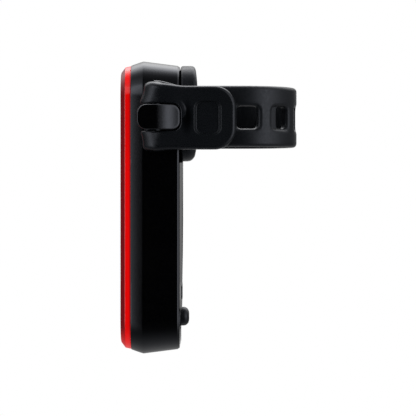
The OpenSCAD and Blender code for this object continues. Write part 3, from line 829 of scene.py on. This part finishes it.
strap = {
    "thick": 3.0,
    "width": 19.54,
    "middle": 0.37,
    "outerR": 1.3,
    "innerR": 1.1,
    "holeL": 6.7,
    "holeH": 7.2,
    "holeR": 1.4,
    "holeLip": 1.3,
    "ledge": 2.5,  # step in the near side of the holes on the bend
    "ledgeDrop": 0.2,
    "ledgeShape": ((0, 0), (0.02, 0.5), (0.05, 0.9), (0.3, 1)),  # (depth, share of the step)
    "ledgeBlend": (0.2, 0.9),
    "underLip": 0.6,  # the lip on the post side, as a share of the outer one
    "holePitch": 11.5,
    "holeStart": 1.7,
    "openHoles": 3,
    "eyeH": 8.6,
    "margin": 1.25,  # strip of faces round each hole
    "foldX": -28.0,
    "foldV": 18.5,
    "foldR": 3.05,
    "flareTop": 1.75,  # spread of the upper edge where the band is stretched over the hook
    "flareTopX": (-27.5, -18.5),
    "flareLow": 1.1,
    "flareLowX": (-30, -21),
    "step": 0.9,
    "edgeSteps": 5,
    "blockSteps": 8,
}
midR = postR + strap["thick"] / 2
halfTurn = pi * midR
barTop = strap["width"] / 2 + strap["flareTop"]
barLow = -strap["width"] / 2 - strap["flareLow"]


def spread(x, most, reach):  # how far an edge is stretched out at x
    return most * (1 - blendOver(x, *reach))


def edgesAt(part, x):  # upper and lower edge of the band or the tail
    half = part["width"] / 2
    top, low = (spread(x, part[name], part[name + "X"]) for name in ("flareTop", "flareLow"))
    return part["middle"] + half + top, part["middle"] - half - low


def onBand(s, depth, z):  # s runs along the middle of the band, depth out from the post
    if s < 0:
        return (s, -(postR + depth), z)
    if s > halfTurn:
        return (halfTurn - s, postR + depth, z)
    angle = s / midR
    return ((postR + depth) * sin(angle), -(postR + depth) * cos(angle), z)


def bandX(s):
    return min(s, halfTurn - s, 0)


def holePlaces():
    first = strap["holeStart"]
    hook = first - 2 * strap["holePitch"]
    spots = [(hook, strap["eyeH"]), (first - strap["holePitch"], strap["holeH"])]
    spots += [(first + i * strap["holePitch"], strap["holeH"]) for i in range(strap["openHoles"])]
    spots.append((halfTurn - hook, strap["eyeH"]))
    return spots


def bandStations():  # stations along the band, with one at each end of each hole's block
    half = strap["holeL"] / 2 + strap["margin"]
    stops = [strap["foldX"]]
    for place, height in holePlaces():
        stops += [place - half, place + half]
    stops.append(halfTurn - strap["foldX"])
    stations = []
    for a, b in zip(stops, stops[1:]):
        count = max(1, round((b - a) / strap["step"]))
        stations += [a + (b - a) * i / count for i in range(count)]
    return stations + [stops[-1]]


def blockRows():  # heights across the band, with rows at the edges of the hole blocks
    inner = strap["eyeH"] / 2 + strap["margin"]
    steps = strap["blockSteps"]
    return inner, [-inner + 2 * inner * i / steps for i in range(steps + 1)]


def bandSection(s):
    top, low = edgesAt(strap, bandX(s))
    inner, rows = blockRows()
    thick, outerR, innerR = strap["thick"], strap["outerR"], strap["innerR"]
    outerTop, outerLow = top - outerR, low + outerR
    heights = [outerLow, (outerLow - inner) / 2, *rows, (outerTop + inner) / 2, outerTop]
    outerSide = [(thick, z) for z in heights]
    innerSide = [(0, z) for z in reversed(heights)]
    edge = rounded([(thick, outerTop, 0), (thick, top, outerR), (0, top, innerR), (0, outerTop, 0)],
                   steps=strap["edgeSteps"])[1:-1]
    under = rounded([(0, outerLow, 0), (0, low, innerR), (thick, low, outerR), (thick, outerLow, 0)],
                    steps=strap["edgeSteps"])[1:-1]
    points = [onBand(s, depth, z) for depth, z in [*outerSide, *edge, *innerSide, *under]]
    return points, len(heights), len(edge)


def holeOutline(u, v, length, height, radius):  # point of a block's rim, drawn on to the hole's outline
    a, b = u * length / 2, v * height / 2
    centreA = max(-(length / 2 - radius), min(length / 2 - radius, a))
    centreB = max(-(height / 2 - radius), min(height / 2 - radius, b))
    away = Vector((a - centreA, b - centreB))
    if away.length < 1e-9:
        return a, b
    away = away.normalized() * radius if (centreA != a and centreB != b) else away
    return centreA + away.x, centreB + away.y


def makeBand():
    skin = Skin()
    stations = bandStations()
    sections = []
    for s in stations:
        points, rowCount, edgeCount = bandSection(s)
        sections.append(skin.loop(points))
    inner, rows = blockRows()
    firstRow = 2
    lastRow = firstRow + len(rows) - 1
    innerStart = rowCount + edgeCount
    half = strap["holeL"] / 2 + strap["margin"]
    blocks = []
    for place, height in holePlaces():
        inside = [i for i, s in enumerate(stations) if place - half - 1e-6 <= s <= place + half + 1e-6]
        blocks.append((inside[0], inside[-1], place, height))

    def inBlock(i, j):
        outerRow = firstRow <= j < lastRow
        innerRow = innerStart + firstRow <= j < innerStart + lastRow
        return (outerRow or innerRow) and any(a <= i < b for a, b, place, height in blocks)

    count = len(sections[0])
    for i in range(len(sections) - 1):
        for j in range(count):
            if not inBlock(i, j):
                k = (j + 1) % count
                skin.face([sections[i][j], sections[i][k], sections[i + 1][k], sections[i + 1][j]])
    for a, b, place, height in blocks:
        rim = [(i, firstRow) for i in range(a, b)] + [(b, j) for j in range(firstRow, lastRow)]
        rim += [(i, lastRow) for i in range(b, a, -1)] + [(a, j) for j in range(lastRow, firstRow, -1)]
        uv = [((stations[i] - place) / half, rows[j - firstRow] / inner) for i, j in rim]
        outer = [sections[i][j] for i, j in rim]
        under = [sections[i][innerStart + rowCount - 1 - j] for i, j in rim]
        lip = strap["holeLip"]
        inLip = lip * strap["underLip"]
        loops = [outer]
        thick = strap["thick"]
        step = strap["ledge"] if strap["holePitch"] < place < halfTurn else 0
        ledge = thick - lip - strap["ledgeDrop"]
        turns = [(lip * out, thick - lip * drop, 0) for out, drop in quarter(4)]
        turns += [(0, ledge - down, share * step) for down, share in strap["ledgeShape"]]
        turns += [(inLip * out, inLip * rise, step) for rise, out in quarter(3)]
        for out, depth, shift in turns:
            points = []
            for u, v in uv:
                p, z = holeOutline(u, v, strap["holeL"] + 2 * out, height + 2 * out, strap["holeR"] + out)
                points.append(onBand(place + p + shift * blendOver(-u, *strap["ledgeBlend"]), depth, z))
            loops.append(skin.loop(points))
        loops.append(under)
        skin.loft(loops)
    skin.face(sections[0])
    skin.face(sections[-1])
    addBar(skin)
    skin.piece("strapBand", materials["strapRubber"], "light", "strap_rubber", "strap_band")


fold = {
    "endR": 1.9,
    "faceR": 1.3,  # rounding of the tail's long edges, which grows towards the fold
    "innerR": 0.35,
    "turnX": -25.73,  # where the tail's face starts to turn
    "turns": ((6.5, 50), (4.2, 90)),  # (radius, slope reached)
    "faceReach": 8,
    "bulgeTop": 1.5,  # rubber pressed out in front of the hook
    "topReach": 3.3,
    "bulgeLow": 0.75,
    "lowReach": 2.2,
    "tuckTop": 0.4,  # the upper half of the fold lies further back
    "tuckZ": (0, 5),
    "dip": 0.35,  # rubber pressed down beside the hook
    "dipReach": 2.6,
    "dipX": 3,
    "pressZ": 4.0,
    "rollR": 0.9,  # rounding of the rubber beside the hook
    "rollShare": 0.8,
    "barTurn": (4, 42),  # over these slopes the tail's ends become the bar's
    "barIn": 0.1,
    "windowTurn": (0.35, 0.9),  # in the window: where the bar's face starts and its inside ends, as shares
    "joint": -23.8,
    "faceSteps": 10,
    "turnSteps": (14, 8),
    "footSteps": 6,
    "heelSteps": 8,
    "innerSteps": 6,
    "endSteps": 7,
    "levels": (0, 1.5, 3, 4, 4.4, 4.6, 4.85, 5.15, 6),  # heights across the middle of the fold
    "outSteps": 5,
    "barSteps": 48,
}


def addBar(skin):  # plain round bar in the strap's far end
    radius, corner = strap["foldR"], fold["endR"]
    corners = [(tip, barLow, 0), (radius, barLow, corner), (radius, barTop, corner), (tip, barTop, 0)]
    loops = []
    for r, z in rounded(corners, steps=7):
        ring = circle(r, fold["barSteps"])
        loops.append(skin.loop([(strap["foldX"] + a, strap["foldV"] + b, z) for a, b in ring]))
    skin.solid(loops)


tail = {
    "thick": 2.8,
    "width": 20.3,
    "middle": -0.2,
    "flareTop": 0.95,
    "flareTopX": (-27, -18),
    "flareLow": 0.8,
    "flareLowX": (-30, -21),
    "endX": -1.9,
    "endR": 6.8,
    "gap": 0.3,
    "overlap": 0.4,  # of the flat part with the fold
    "windowR": -19.5,
    "windowHalf": 4.25,
    "windowCorner": 2.5,
    "windowLean": 0.3,
    "lipR": 0.5,
    "lipShape": (  # (distance from the window, how far it is pressed in), raised where negative
        (0.5, -0.3), (0.8, -0.26), (1.2, -0.18), (1.6, -0.1), (1.8, 0), (2.1, 0.04), (3.1, 0.03), (3.8, 0)),
    "lipX": (-21.5, -19.8),
    "lipZ": (-2.8, 0.6),
    "recess": (-15.25, -5.7, -6.5, 5.25),  # outer edge
    "recessR": 2.4,
    "recessDepth": 0.95,
    "recessSide": 0.85,
    "recessEnd": 0.5,
    "recessLeastR": 0.3,
    "recessSlope": ((-0.35, 0, 0), (0, 0, 0.3), (1, 1, 0.3), (1.35, 1, 0)),  # (run, drop, rounding)
    "sunk": 0.015,  # keeps the flat part just below the fold where they overlap
    "topSteps": 16,
}
tailOut = postR + strap["thick"] + tail["gap"] + tail["thick"]
tailIn = tailOut - tail["thick"]


def faceRadius(x):
    reach = (strap["foldX"], strap["foldX"] + fold["faceReach"])
    return fold["faceR"] + spread(x, fold["endR"] - fold["faceR"], reach)


def pressed(z, size, reach):  # how much the hook moves the rubber at height z
    return size * exp(-(max(0, abs(z) - fold["pressZ"]) / reach) ** 2)


# (x, v, outward x, outward v, edge radius, share of the bar) round the fold's section
def foldRing(through):
    radius = strap["foldR"]
    middle = Vector((strap["foldX"], strap["foldV"]))
    lowTurn = asin((tailIn - strap["foldV"]) / radius)
    faceTurn, innerTurn = fold["windowTurn"]
    barStart, barEnd = (radians(turn) for turn in fold["barTurn"])
    ring = []

    def add(place, out, edge, share):
        ring.append((*place, *out, edge, share))

    def onBar(turn, share=0):
        out = Vector((cos(turn), sin(turn)))
        add(middle + radius * out, out, fold["endR"], share)

    for i in range(fold["faceSteps"]):
        t = i / fold["faceSteps"]
        if through:  # the window is open here, and the bar is round
            onBar(pi / 2 * (faceTurn + (1 - faceTurn) * t))
        else:
            x = fold["joint"] + (fold["turnX"] - fold["joint"]) * t
            add((x, tailOut), (0, 1), faceRadius(x), 0)
    place, slope = Vector((fold["turnX"], tailOut)), 0
    for (bend, reached), steps in zip(fold["turns"], fold["turnSteps"]):
        centre = place - bend * Vector((-sin(slope), cos(slope)))
        for i in range(steps):
            angle = slope + (radians(reached) - slope) * i / steps
            out = Vector((-sin(angle), cos(angle)))
            share = blendOver(angle, barStart, barEnd)
            if through:
                onBar(pi / 2 + angle, share)
            else:
                add(centre + bend * out, out, fold["endR"], share)
        slope = radians(reached)
        place = centre + bend * Vector((-sin(slope), cos(slope)))
    wide, deep = middle.x - place.x, place.y - middle.y + radius
    for i in range(fold["footSteps"]):  # from the foremost line of the fold to the leg's inner side
        angle = pi / 2 * i / fold["footSteps"]
        out = Vector((-cos(angle) * deep, -sin(angle) * wide)).normalized()
        if through:
            onBar(pi + angle, 1)
        else:
            add((middle.x - wide * cos(angle), place.y - deep * sin(angle)), out, fold["endR"], 1)
    for i in range(fold["heelSteps"] + 1):
        onBar(1.5 * pi + (pi / 2 + lowTurn) * i / fold["heelSteps"], 1)
    for i in range(1, fold["innerSteps"] + 1):
        t = i / fold["innerSteps"]
        if through:
            onBar(lowTurn + (pi / 4 - lowTurn) * t * innerTurn)
        else:
            start = strap["foldX"] + sqrt(radius ** 2 - (tailIn - strap["foldV"]) ** 2)
            add((start + (fold["joint"] - start) * t, tailIn), (0, -1), fold["innerR"], 0)
    return ring


def foldPoint(spot, z, drawn=0):  # one point of the fold's skin, drawn in near the ends
    x, v, outX, outV, edge, share = spot
    left = max(0, -outX)
    face = max(0, outV) if outX < 0.01 else 0
    near = blendOver(-x, -strap["foldX"] - fold["dipX"], -strap["foldX"])
    swell = (fold["bulgeTop"], fold["topReach"]) if z > 0 else (fold["bulgeLow"], fold["lowReach"])
    x -= (pressed(z, *swell) - fold["tuckTop"] * blendOver(z, *fold["tuckZ"])) * left
    v -= pressed(z, fold["dip"], fold["dipReach"]) * face * near
    depth = min(1, max(0, 1 - (abs(z) - tail["windowHalf"]) / fold["rollR"]))
    drawn += fold["rollR"] * (1 - sqrt(1 - depth ** 2)) * max(left, face) * fold["rollShare"]
    return (x - outX * drawn, -(v - outV * drawn), z)


def foldEnds(spot):  # top and bottom of the fold at a place round its section
    x, share = spot[0], spot[5]
    top, low = edgesAt(tail, x)
    return top + (barTop - fold["barIn"] - top) * share, low + (barLow + fold["barIn"] - low) * share


def addFold(skin):
    half = tail["windowHalf"]
    levels = fold["levels"]
    plain, bare = foldRing(False), foldRing(True)
    inWindow = [z for z in levels if z < half] + [half]
    outside = [half] + [z for z in levels if z > half]
    rows = []
    for z in [-z for z in reversed(inWindow)] + inWindow[1:]:
        rows.append([foldPoint(spot, z) for spot in bare])
    for hand in (1, -1):
        beside = [[foldPoint(spot, hand * z) for spot in plain] for z in outside]
        ends = [(spot, spot[4], foldEnds(spot)[0 if hand > 0 else 1]) for spot in plain]
        start = hand * levels[-1]
        for i in range(1, fold["outSteps"] + 1):
            t = i / fold["outSteps"]
            beside.append([foldPoint(spot, start + (end - hand * r - start) * t) for spot, r, end in ends])
        for near, drawn in quarter(fold["endSteps"], 1):
            beside.append([foldPoint(spot, end - hand * r * near, r * drawn) for spot, r, end in ends])
        rows = rows + beside if hand > 0 else list(reversed(beside)) + rows
    skin.solid([skin.loop(row) for row in rows], flat=False)


def tailEdge():  # outline of the flat part from the fold's top, round the pull end, to the fold's bottom
    start = fold["joint"] - tail["overlap"]
    plain = tail["flareTopX"][1]
    steps = tail["topSteps"]
    upper = [start + (plain - start) * i / steps for i in range(steps + 1)]
    end, radius = tail["endX"], tail["endR"]
    (plainTop, plainLow), (endTop, endLow) = edgesAt(tail, plain), edgesAt(tail, end)
    corners = [(plain, plainTop, 0), (end, endTop, radius), (end, endLow, radius), (plain, plainLow, 0)]
    points = [(x, edgesAt(tail, x)[0]) for x in upper] + rounded(corners, steps=14)[1:-1]
    return points + [(x, edgesAt(tail, x)[1]) for x in reversed(upper)]


def windowEdge():  # from the fold along the window's lower side, round its end and back
    half, radius, end = tail["windowHalf"], tail["windowCorner"], tail["windowR"]
    start = fold["joint"] - tail["overlap"]
    steps = tail["topSteps"]
    straight = [start + (end - radius - start) * i / steps for i in range(steps)]
    points = [(x, -half) for x in straight]
    corners = [(start, -half, 0), (end, -half, radius), (end, half, radius), (start, half, 0)]
    points += rounded(corners, steps=8)[1:-1]
    return points + [(x, half) for x in reversed(straight)]


def drawIn(points, amounts):  # moves each point of an open outline to its right
    moved = []
    count = len(points)
    for i, (a, b) in enumerate(points):
        before = Vector(points[i - 1]) if i > 0 else Vector((a - 1, b))
        after = Vector(points[i + 1]) if i < count - 1 else Vector((a - 1, b))
        along = (after - before).normalized()
        moved.append((a + along.y * amounts[i], b - along.x * amounts[i]))
    return moved


def makeTail():
    skin = Skin()

    def layer(points, depths):  # depths out from the post
        return skin.loop([(x, -d, z) for (x, z), d in zip(points, depths)])

    edge = tailEdge()
    radii = [faceRadius(x) for x, z in edge]
    outer = tailOut - tail["sunk"]
    small = fold["innerR"]
    loops = []
    for inset, rise in quarter(3):
        shape = drawIn(edge, [small * inset] * len(edge))
        loops.append(layer(shape, [tailIn + small * rise] * len(edge)))
    for drop, inset in quarter(8):
        shape = drawIn(edge, [r * inset for r in radii])
        loops.append(layer(shape, [outer - r * drop for r in radii]))
    skin.loft(loops)

    rim = windowEdge()
    byHook = [blendOver(x, *tail["lipX"]) for x, z in rim]
    raised = [share * blendOver(z, *tail["lipZ"]) for share, (x, z) in zip(byHook, rim)]
    lipR, lipDip = tail["lipR"], tail["lipShape"][0][1]
    window = [layer(drawIn(rim, [tail["windowLean"] * share for share in byHook]), [tailIn] * len(rim))]
    for drop, out in quarter(5):
        depths = [outer - lipR * drop - lipDip * share for share in raised]
        window.append(layer(drawIn(rim, [lipR * out] * len(rim)), depths))
    for out, dip in tail["lipShape"][1:]:
        window.append(layer(drawIn(rim, [out] * len(rim)), [outer - dip * share for share in raised]))
    skin.loft(window, around=False)

    lowA, lowB, highA, highB = tail["recess"]
    recess = []
    for run, down in rounded(tail["recessSlope"], steps=4):
        a, b = run * tail["recessSide"], run * tail["recessEnd"]
        radius = max(tail["recessLeastR"], tail["recessR"] - run * tail["recessEnd"])
        shape = plan((lowA + a, lowB + b, highA - a, highB - b), [radius] * 4, runs=(4, 4))
        recess.append(layer(shape, [outer - down * tail["recessDepth"]] * len(shape)))
    skin.loft(recess)
    skin.face(recess[-1])
    skin.fill(loops[-1] + window[-1], recess[0])
    skin.fill(loops[0] + window[0])
    addFold(skin)
    skin.piece("strapTail", materials["tailRubber"], "tail", "strap_rubber", "strap_tail")


# Hook bracket: lofted from one tongue through the plate behind the pad to the other tongue

hook = {
    "halfH": 4.0,
    "plate": 1.8,
    "armY": 15.15,
    "neckLeft": -24.65,
    "neckRight": -19.65,
    "neckHalf": 3.5,
    "clear": 0.3,
    "thick": 1.95,
    "bendX": -27.7,
    "bends": ((-26.9, 11), (-23.4, 22), (-20.6, 15)),  # (where a bend ends, slope reached)
    "tipX": -33.4,
    "tipR": 3.0,
    "noseR": 2.6,
    "rimR": 0.42,
    "footR": 0.35,
    "footDrop": 2.6,
    "footX": (-26, -21),
    "skin": 0.4,  # depth of the neck's root below the tongue's face
    "edgeR": 0.42,
    "bendSteps": 10,
    "bendTurn": 80,
    "leastR": 0.08,
    "middle": 0.1,
    "faceSteps": 7,
    "edgeShare": (0.45, 0.8),  # most rounding, as shares of a section's depth and half height
    "shoulder": (1, 0.3, 0.9),  # the arm's steps round the body's edge
    "elbow": (2.5, 0.25, 1.2),
    "armIn": 0.6,
    "neckFoot": (1.5, 1),
    "plateW": 11,
    "plateH": 16,
    "plateR": 1.5,
    "plateLeastR": 0.2,
    "plateGap": 0.05,
    "plateEdgeR": 0.4,
    "plateIn": 2,
}
tongueIn = strap["foldV"] + strap["foldR"] + hook["clear"]
tongueOut = tongueIn + hook["thick"]


def tongueFace(x):  # the tongue is flat over the fold and then bends down into the window
    drop, start, slope = 0, hook["bendX"], 0
    for end, reached in hook["bends"]:
        first, last = sin(slope), sin(radians(reached))
        radius = (end - start) / (last - first)
        past = min(end, max(start, x)) - start
        drop += radius * (cos(slope) - sqrt(1 - (first + past / radius) ** 2))
        start, slope = end, radians(reached)
    return tongueOut - drop - max(0, x - start) * tan(slope)


def hookStations():  # (inner point, outer point, half height) from the plate's middle to the tongue's root
    plateX = backX + hook["plate"]
    sideY = bodyHalfW - body["rearInset"] + hook["clear"]
    high, neckHalf = hook["halfH"], hook["neckHalf"]
    neckLeft, neckRight = hook["neckLeft"], hook["neckRight"] - hook["skin"]
    inY, downX, outY = hook["shoulder"]
    elbowX, elbowY, elbowDown = hook["elbow"]
    footIn, footOut = hook["neckFoot"]
    foldX, foldV = strap["foldX"], strap["foldV"]
    stations = [
        ((backX, 0), (plateX, 0), high),
        ((backX, sideY - inY), (plateX, sideY - inY), high),
        ((backX, sideY), (plateX - downX, sideY + outY), high),
        ((backX - elbowX, sideY + elbowY), (plateX - elbowDown, hook["armY"]), high),
        ((neckLeft, sideY + hook["armIn"]), (neckRight, hook["armY"]), high),
        ((neckLeft, foldV - footIn), (neckRight, foldV - footOut), neckHalf),
    ]
    reach = strap["foldR"] + hook["clear"]
    for i in range(hook["bendSteps"] + 1):
        angle = radians(hook["bendTurn"]) * i / hook["bendSteps"]
        inner = (foldX + reach * cos(angle), foldV + reach * sin(angle))
        x = hook["bendX"] + (neckRight - hook["bendX"]) * cos(angle)
        root = tongueFace(x) - hook["skin"] - foldV
        stations.append((inner, (x, foldV + root * sin(angle)), neckHalf))
    return stations


def addTongue(skin, hand):
    half, rim, foot = hook["halfH"], hook["rimR"], hook["footR"]

    def shape(inset):
        box = (hook["tipX"] + inset, -half + inset, hook["neckRight"] - inset, half - inset)
        nose, end = (max(hook["leastR"], hook[name] - inset) for name in ("noseR", "tipR"))
        return plan(box, (nose, end, end, nose), runs=(14, 4))

    def layer(inset, depth):
        return skin.loop([(x, hand * depth(x), z) for x, z in shape(inset)])

    def under(x):
        return tongueIn - hook["footDrop"] * blendOver(x, *hook["footX"])

    loops = [layer(foot, under), layer(0, lambda x: under(x) + foot)]
    for drop, inset in quarter(5):
        loops.append(layer(rim * inset, lambda x: tongueFace(x) - rim * drop))
    for k in range(1, hook["faceSteps"] + 1):
        loops.append(layer(rim + (half - hook["middle"] - rim) * k / hook["faceSteps"], tongueFace))
    skin.solid(loops, flat=False)


def hookSection(inner, outer, half, hand):
    a, b = Vector(inner), Vector(outer)
    across = b - a
    ofDepth, ofHeight = hook["edgeShare"]
    radius = min(hook["edgeR"], across.length * ofDepth, half * ofHeight)
    shape = roundRect(across.length, 2 * half, radius, 4)
    middle, unit = (a + b) / 2, across.normalized()
    points = []
    for p, z in shape:
        spot = middle + unit * p
        points.append((spot.x, hand * spot.y, z))
    return points


def makeHook():
    skin = Skin()
    half = hookStations()
    stations = [(s, -1) for s in reversed(half)] + [(s, 1) for s in half[1:]]
    loops = [skin.loop(hookSection(*s, hand)) for s, hand in stations]
    skin.solid(loops)
    top = backX + hook["plate"] - hook["plateGap"]
    profile = [(backX, 0, 0), (top, 0, hook["plateEdgeR"]), (top, hook["plateIn"], 0)]
    addSlab(skin, hook["plateW"], hook["plateH"], hook["plateR"], hook["plateLeastR"], profile)
    addTongue(skin, -1)
    addTongue(skin, 1)
    skin.piece("hookBracket", materials["hookGloss"], "light", "hook_black", "hook_bracket")


for make in (makeHousing, makeLens, makeCover, makeScrews, makeButton, makePlug, makePad, makeBand, makeTail,
             makeHook):
    make()

# Pieces kept from the CAD frame, with their finishes

keptFinishes = {
    "cover_seal": "strapRubber",
    "reflector": "reflectorRed",
    "led_board": "boardGreen",
    "leds": "lampCream",
    "battery": "cellFoil",
    "battery_tape": "tapeWhite",
    "battery_leads": "wireRed",
    "control_board": "boardGreen",
    "control_screws": "screwSteel",
    "board_link": "hookGloss",
    "usb_socket": "screwSteel",
    "tact_switch": "hookGloss",
    "bracket_screws": "screwSteel",
    "switch_plunger": "wireRed",
}
for name, finish in keptFinishes.items():
    nodes[name].data.materials.clear()
    nodes[name].data.materials.append(materials[finish])
print("kept from the CAD frame:", len(keptFinishes), "pieces")

# Studio: soft light from both sides, above and below, and none from beside the camera

studio = {  # how bright it is at each angle off the camera's line: (share of a half turn, brightness)
    "right": [
        (0, 0), (0.105, 0), (0.156, 0.12), (0.183, 0.33), (0.211, 0.66), (0.256, 0.96), (0.306, 1),
        (0.361, 0.75), (0.417, 0.46), (0.483, 0.21), (0.578, 0.06), (0.7, 0.02), (0.79, 0.02),
        (0.86, 0.16), (0.92, 0.24), (1, 0.26)],
    "left": [
        (0, 0), (0.172, 0), (0.194, 0.04), (0.211, 0.09), (0.228, 0.15), (0.244, 0.35), (0.267, 0.67),
        (0.294, 0.92), (0.322, 0.92), (0.389, 0.67), (0.456, 0.29), (0.522, 0.085), (0.6, 0.02),
        (0.92, 0.02), (1, 0.12)],
    "rightFall": 1.5,  # how soon the lights at the sides end below the middle
    "leftFall": 3,
    "sidesGain": 2.4,
    "above": [
        (0, 0), (0.33, 0), (0.44, 0.055), (0.5, 0.16), (0.55, 0.38), (0.62, 0.85), (0.7, 1), (0.78, 0.6),
        (0.86, 0.2), (1, 0.1)],
    "aboveGain": 4.75,
    "below": [
        (0, 0), (0.13, 0), (0.17, 0.01), (0.22, 0.03), (0.275, 0.08), (0.33, 0.15), (0.42, 0.29),
        (0.52, 0.45), (0.64, 0.6), (0.8, 0.5), (1, 0.35)],
    "lamp": (-0.557, -0.722, 0.408),  # a small soft lamp, up on the left
    "lampEdge": (0.95, 0.985),
    "lampGain": 1.2,
    "back": (0.93, 0.995),  # the white behind the object, seen in shine and through the lens
}


def makeWorld():
    world = bpy.data.worlds.new("tent")
    bpy.context.scene.world = world
    world.use_nodes = True
    world.node_tree.nodes.clear()
    wire = Wire(world.node_tree)
    towards = wire.node("TexCoord", out="Generated")
    x, y, z = (wire.node("SeparateXYZ", None, {0: towards}, out=i) for i in range(3))
    off = wire.math("ARCCOSINE", 0 - y, 0) / pi
    across = x * x + z * z + 1e-6

    def lightFrom(name, part, side):  # light of one side, by how far a direction leans to it
        stops = [(place, (glow, glow, glow, 1)) for place, glow in studio[name]]
        lean = wire.math(side, part, 0)
        return wire.node("ValToRGB", {"stops": stops}, {"Fac": off}) * lean * lean / across

    low = wire.math("MINIMUM", z, 0)
    level = 1 - low * low / across
    light = lightFrom("right", x, "MAXIMUM") * level ** studio["rightFall"]
    light = (light + lightFrom("left", x, "MINIMUM") * level ** studio["leftFall"]) * studio["sidesGain"]
    light = light + lightFrom("above", z, "MAXIMUM") * studio["aboveGain"] + lightFrom("below", z, "MINIMUM")
    aim = wire.node("VectorMath", {"operation": "DOT_PRODUCT"}, {0: towards, 1: studio["lamp"]}, out="Value")
    light = light + smoothStep(aim, *studio["lampEdge"]) * studio["lampGain"]
    rays = wire.node("LightPath", out="Is Camera Ray")
    shine = wire.node("LightPath", out="Is Glossy Ray") + wire.node("LightPath", out="Is Transmission Ray")
    seen = rays + shine * smoothStep(y, *studio["back"])
    strength = wire.math("MAXIMUM", light * (1 - rays), seen)
    sky = wire.node("Background", None, {"Color": (1, 1, 1, 1), "Strength": strength})
    wire.node("OutputWorld", None, {"Surface": sky})


camera = {  # level, from the -Y side, with the shift that the photo's framing needs
    "distance": 650,
    "x": -15.43,
    "z": -22.22,
    "pixelsPerMm": 3.041,  # in the plane through the post's axis
    "axisPixel": (193.4, 186.8),  # where the camera's own line meets the picture
    "frame": 416,
    "sensor": 36,
    "nearest": 10,
}


def makeCamera():
    data = bpy.data.cameras.new("camera")
    made = bpy.data.objects.new("camera", data)
    bpy.context.scene.collection.objects.link(made)
    made.location = Vector((camera["x"], -camera["distance"], camera["z"])) * mm
    made.rotation_euler = (pi / 2, 0, 0)
    scale, size = camera["pixelsPerMm"], camera["frame"]
    data.sensor_width = camera["sensor"]
    data.lens = scale * camera["distance"] / size * camera["sensor"]
    data.shift_x = 0.5 - camera["axisPixel"][0] / size
    data.shift_y = camera["axisPixel"][1] / size - 0.5
    data.clip_start = camera["nearest"] * mm
    bpy.context.scene.camera = made


makeWorld()
makeCamera()
bpy.context.scene.view_settings.view_transform = "Standard"
print("studio and camera set")
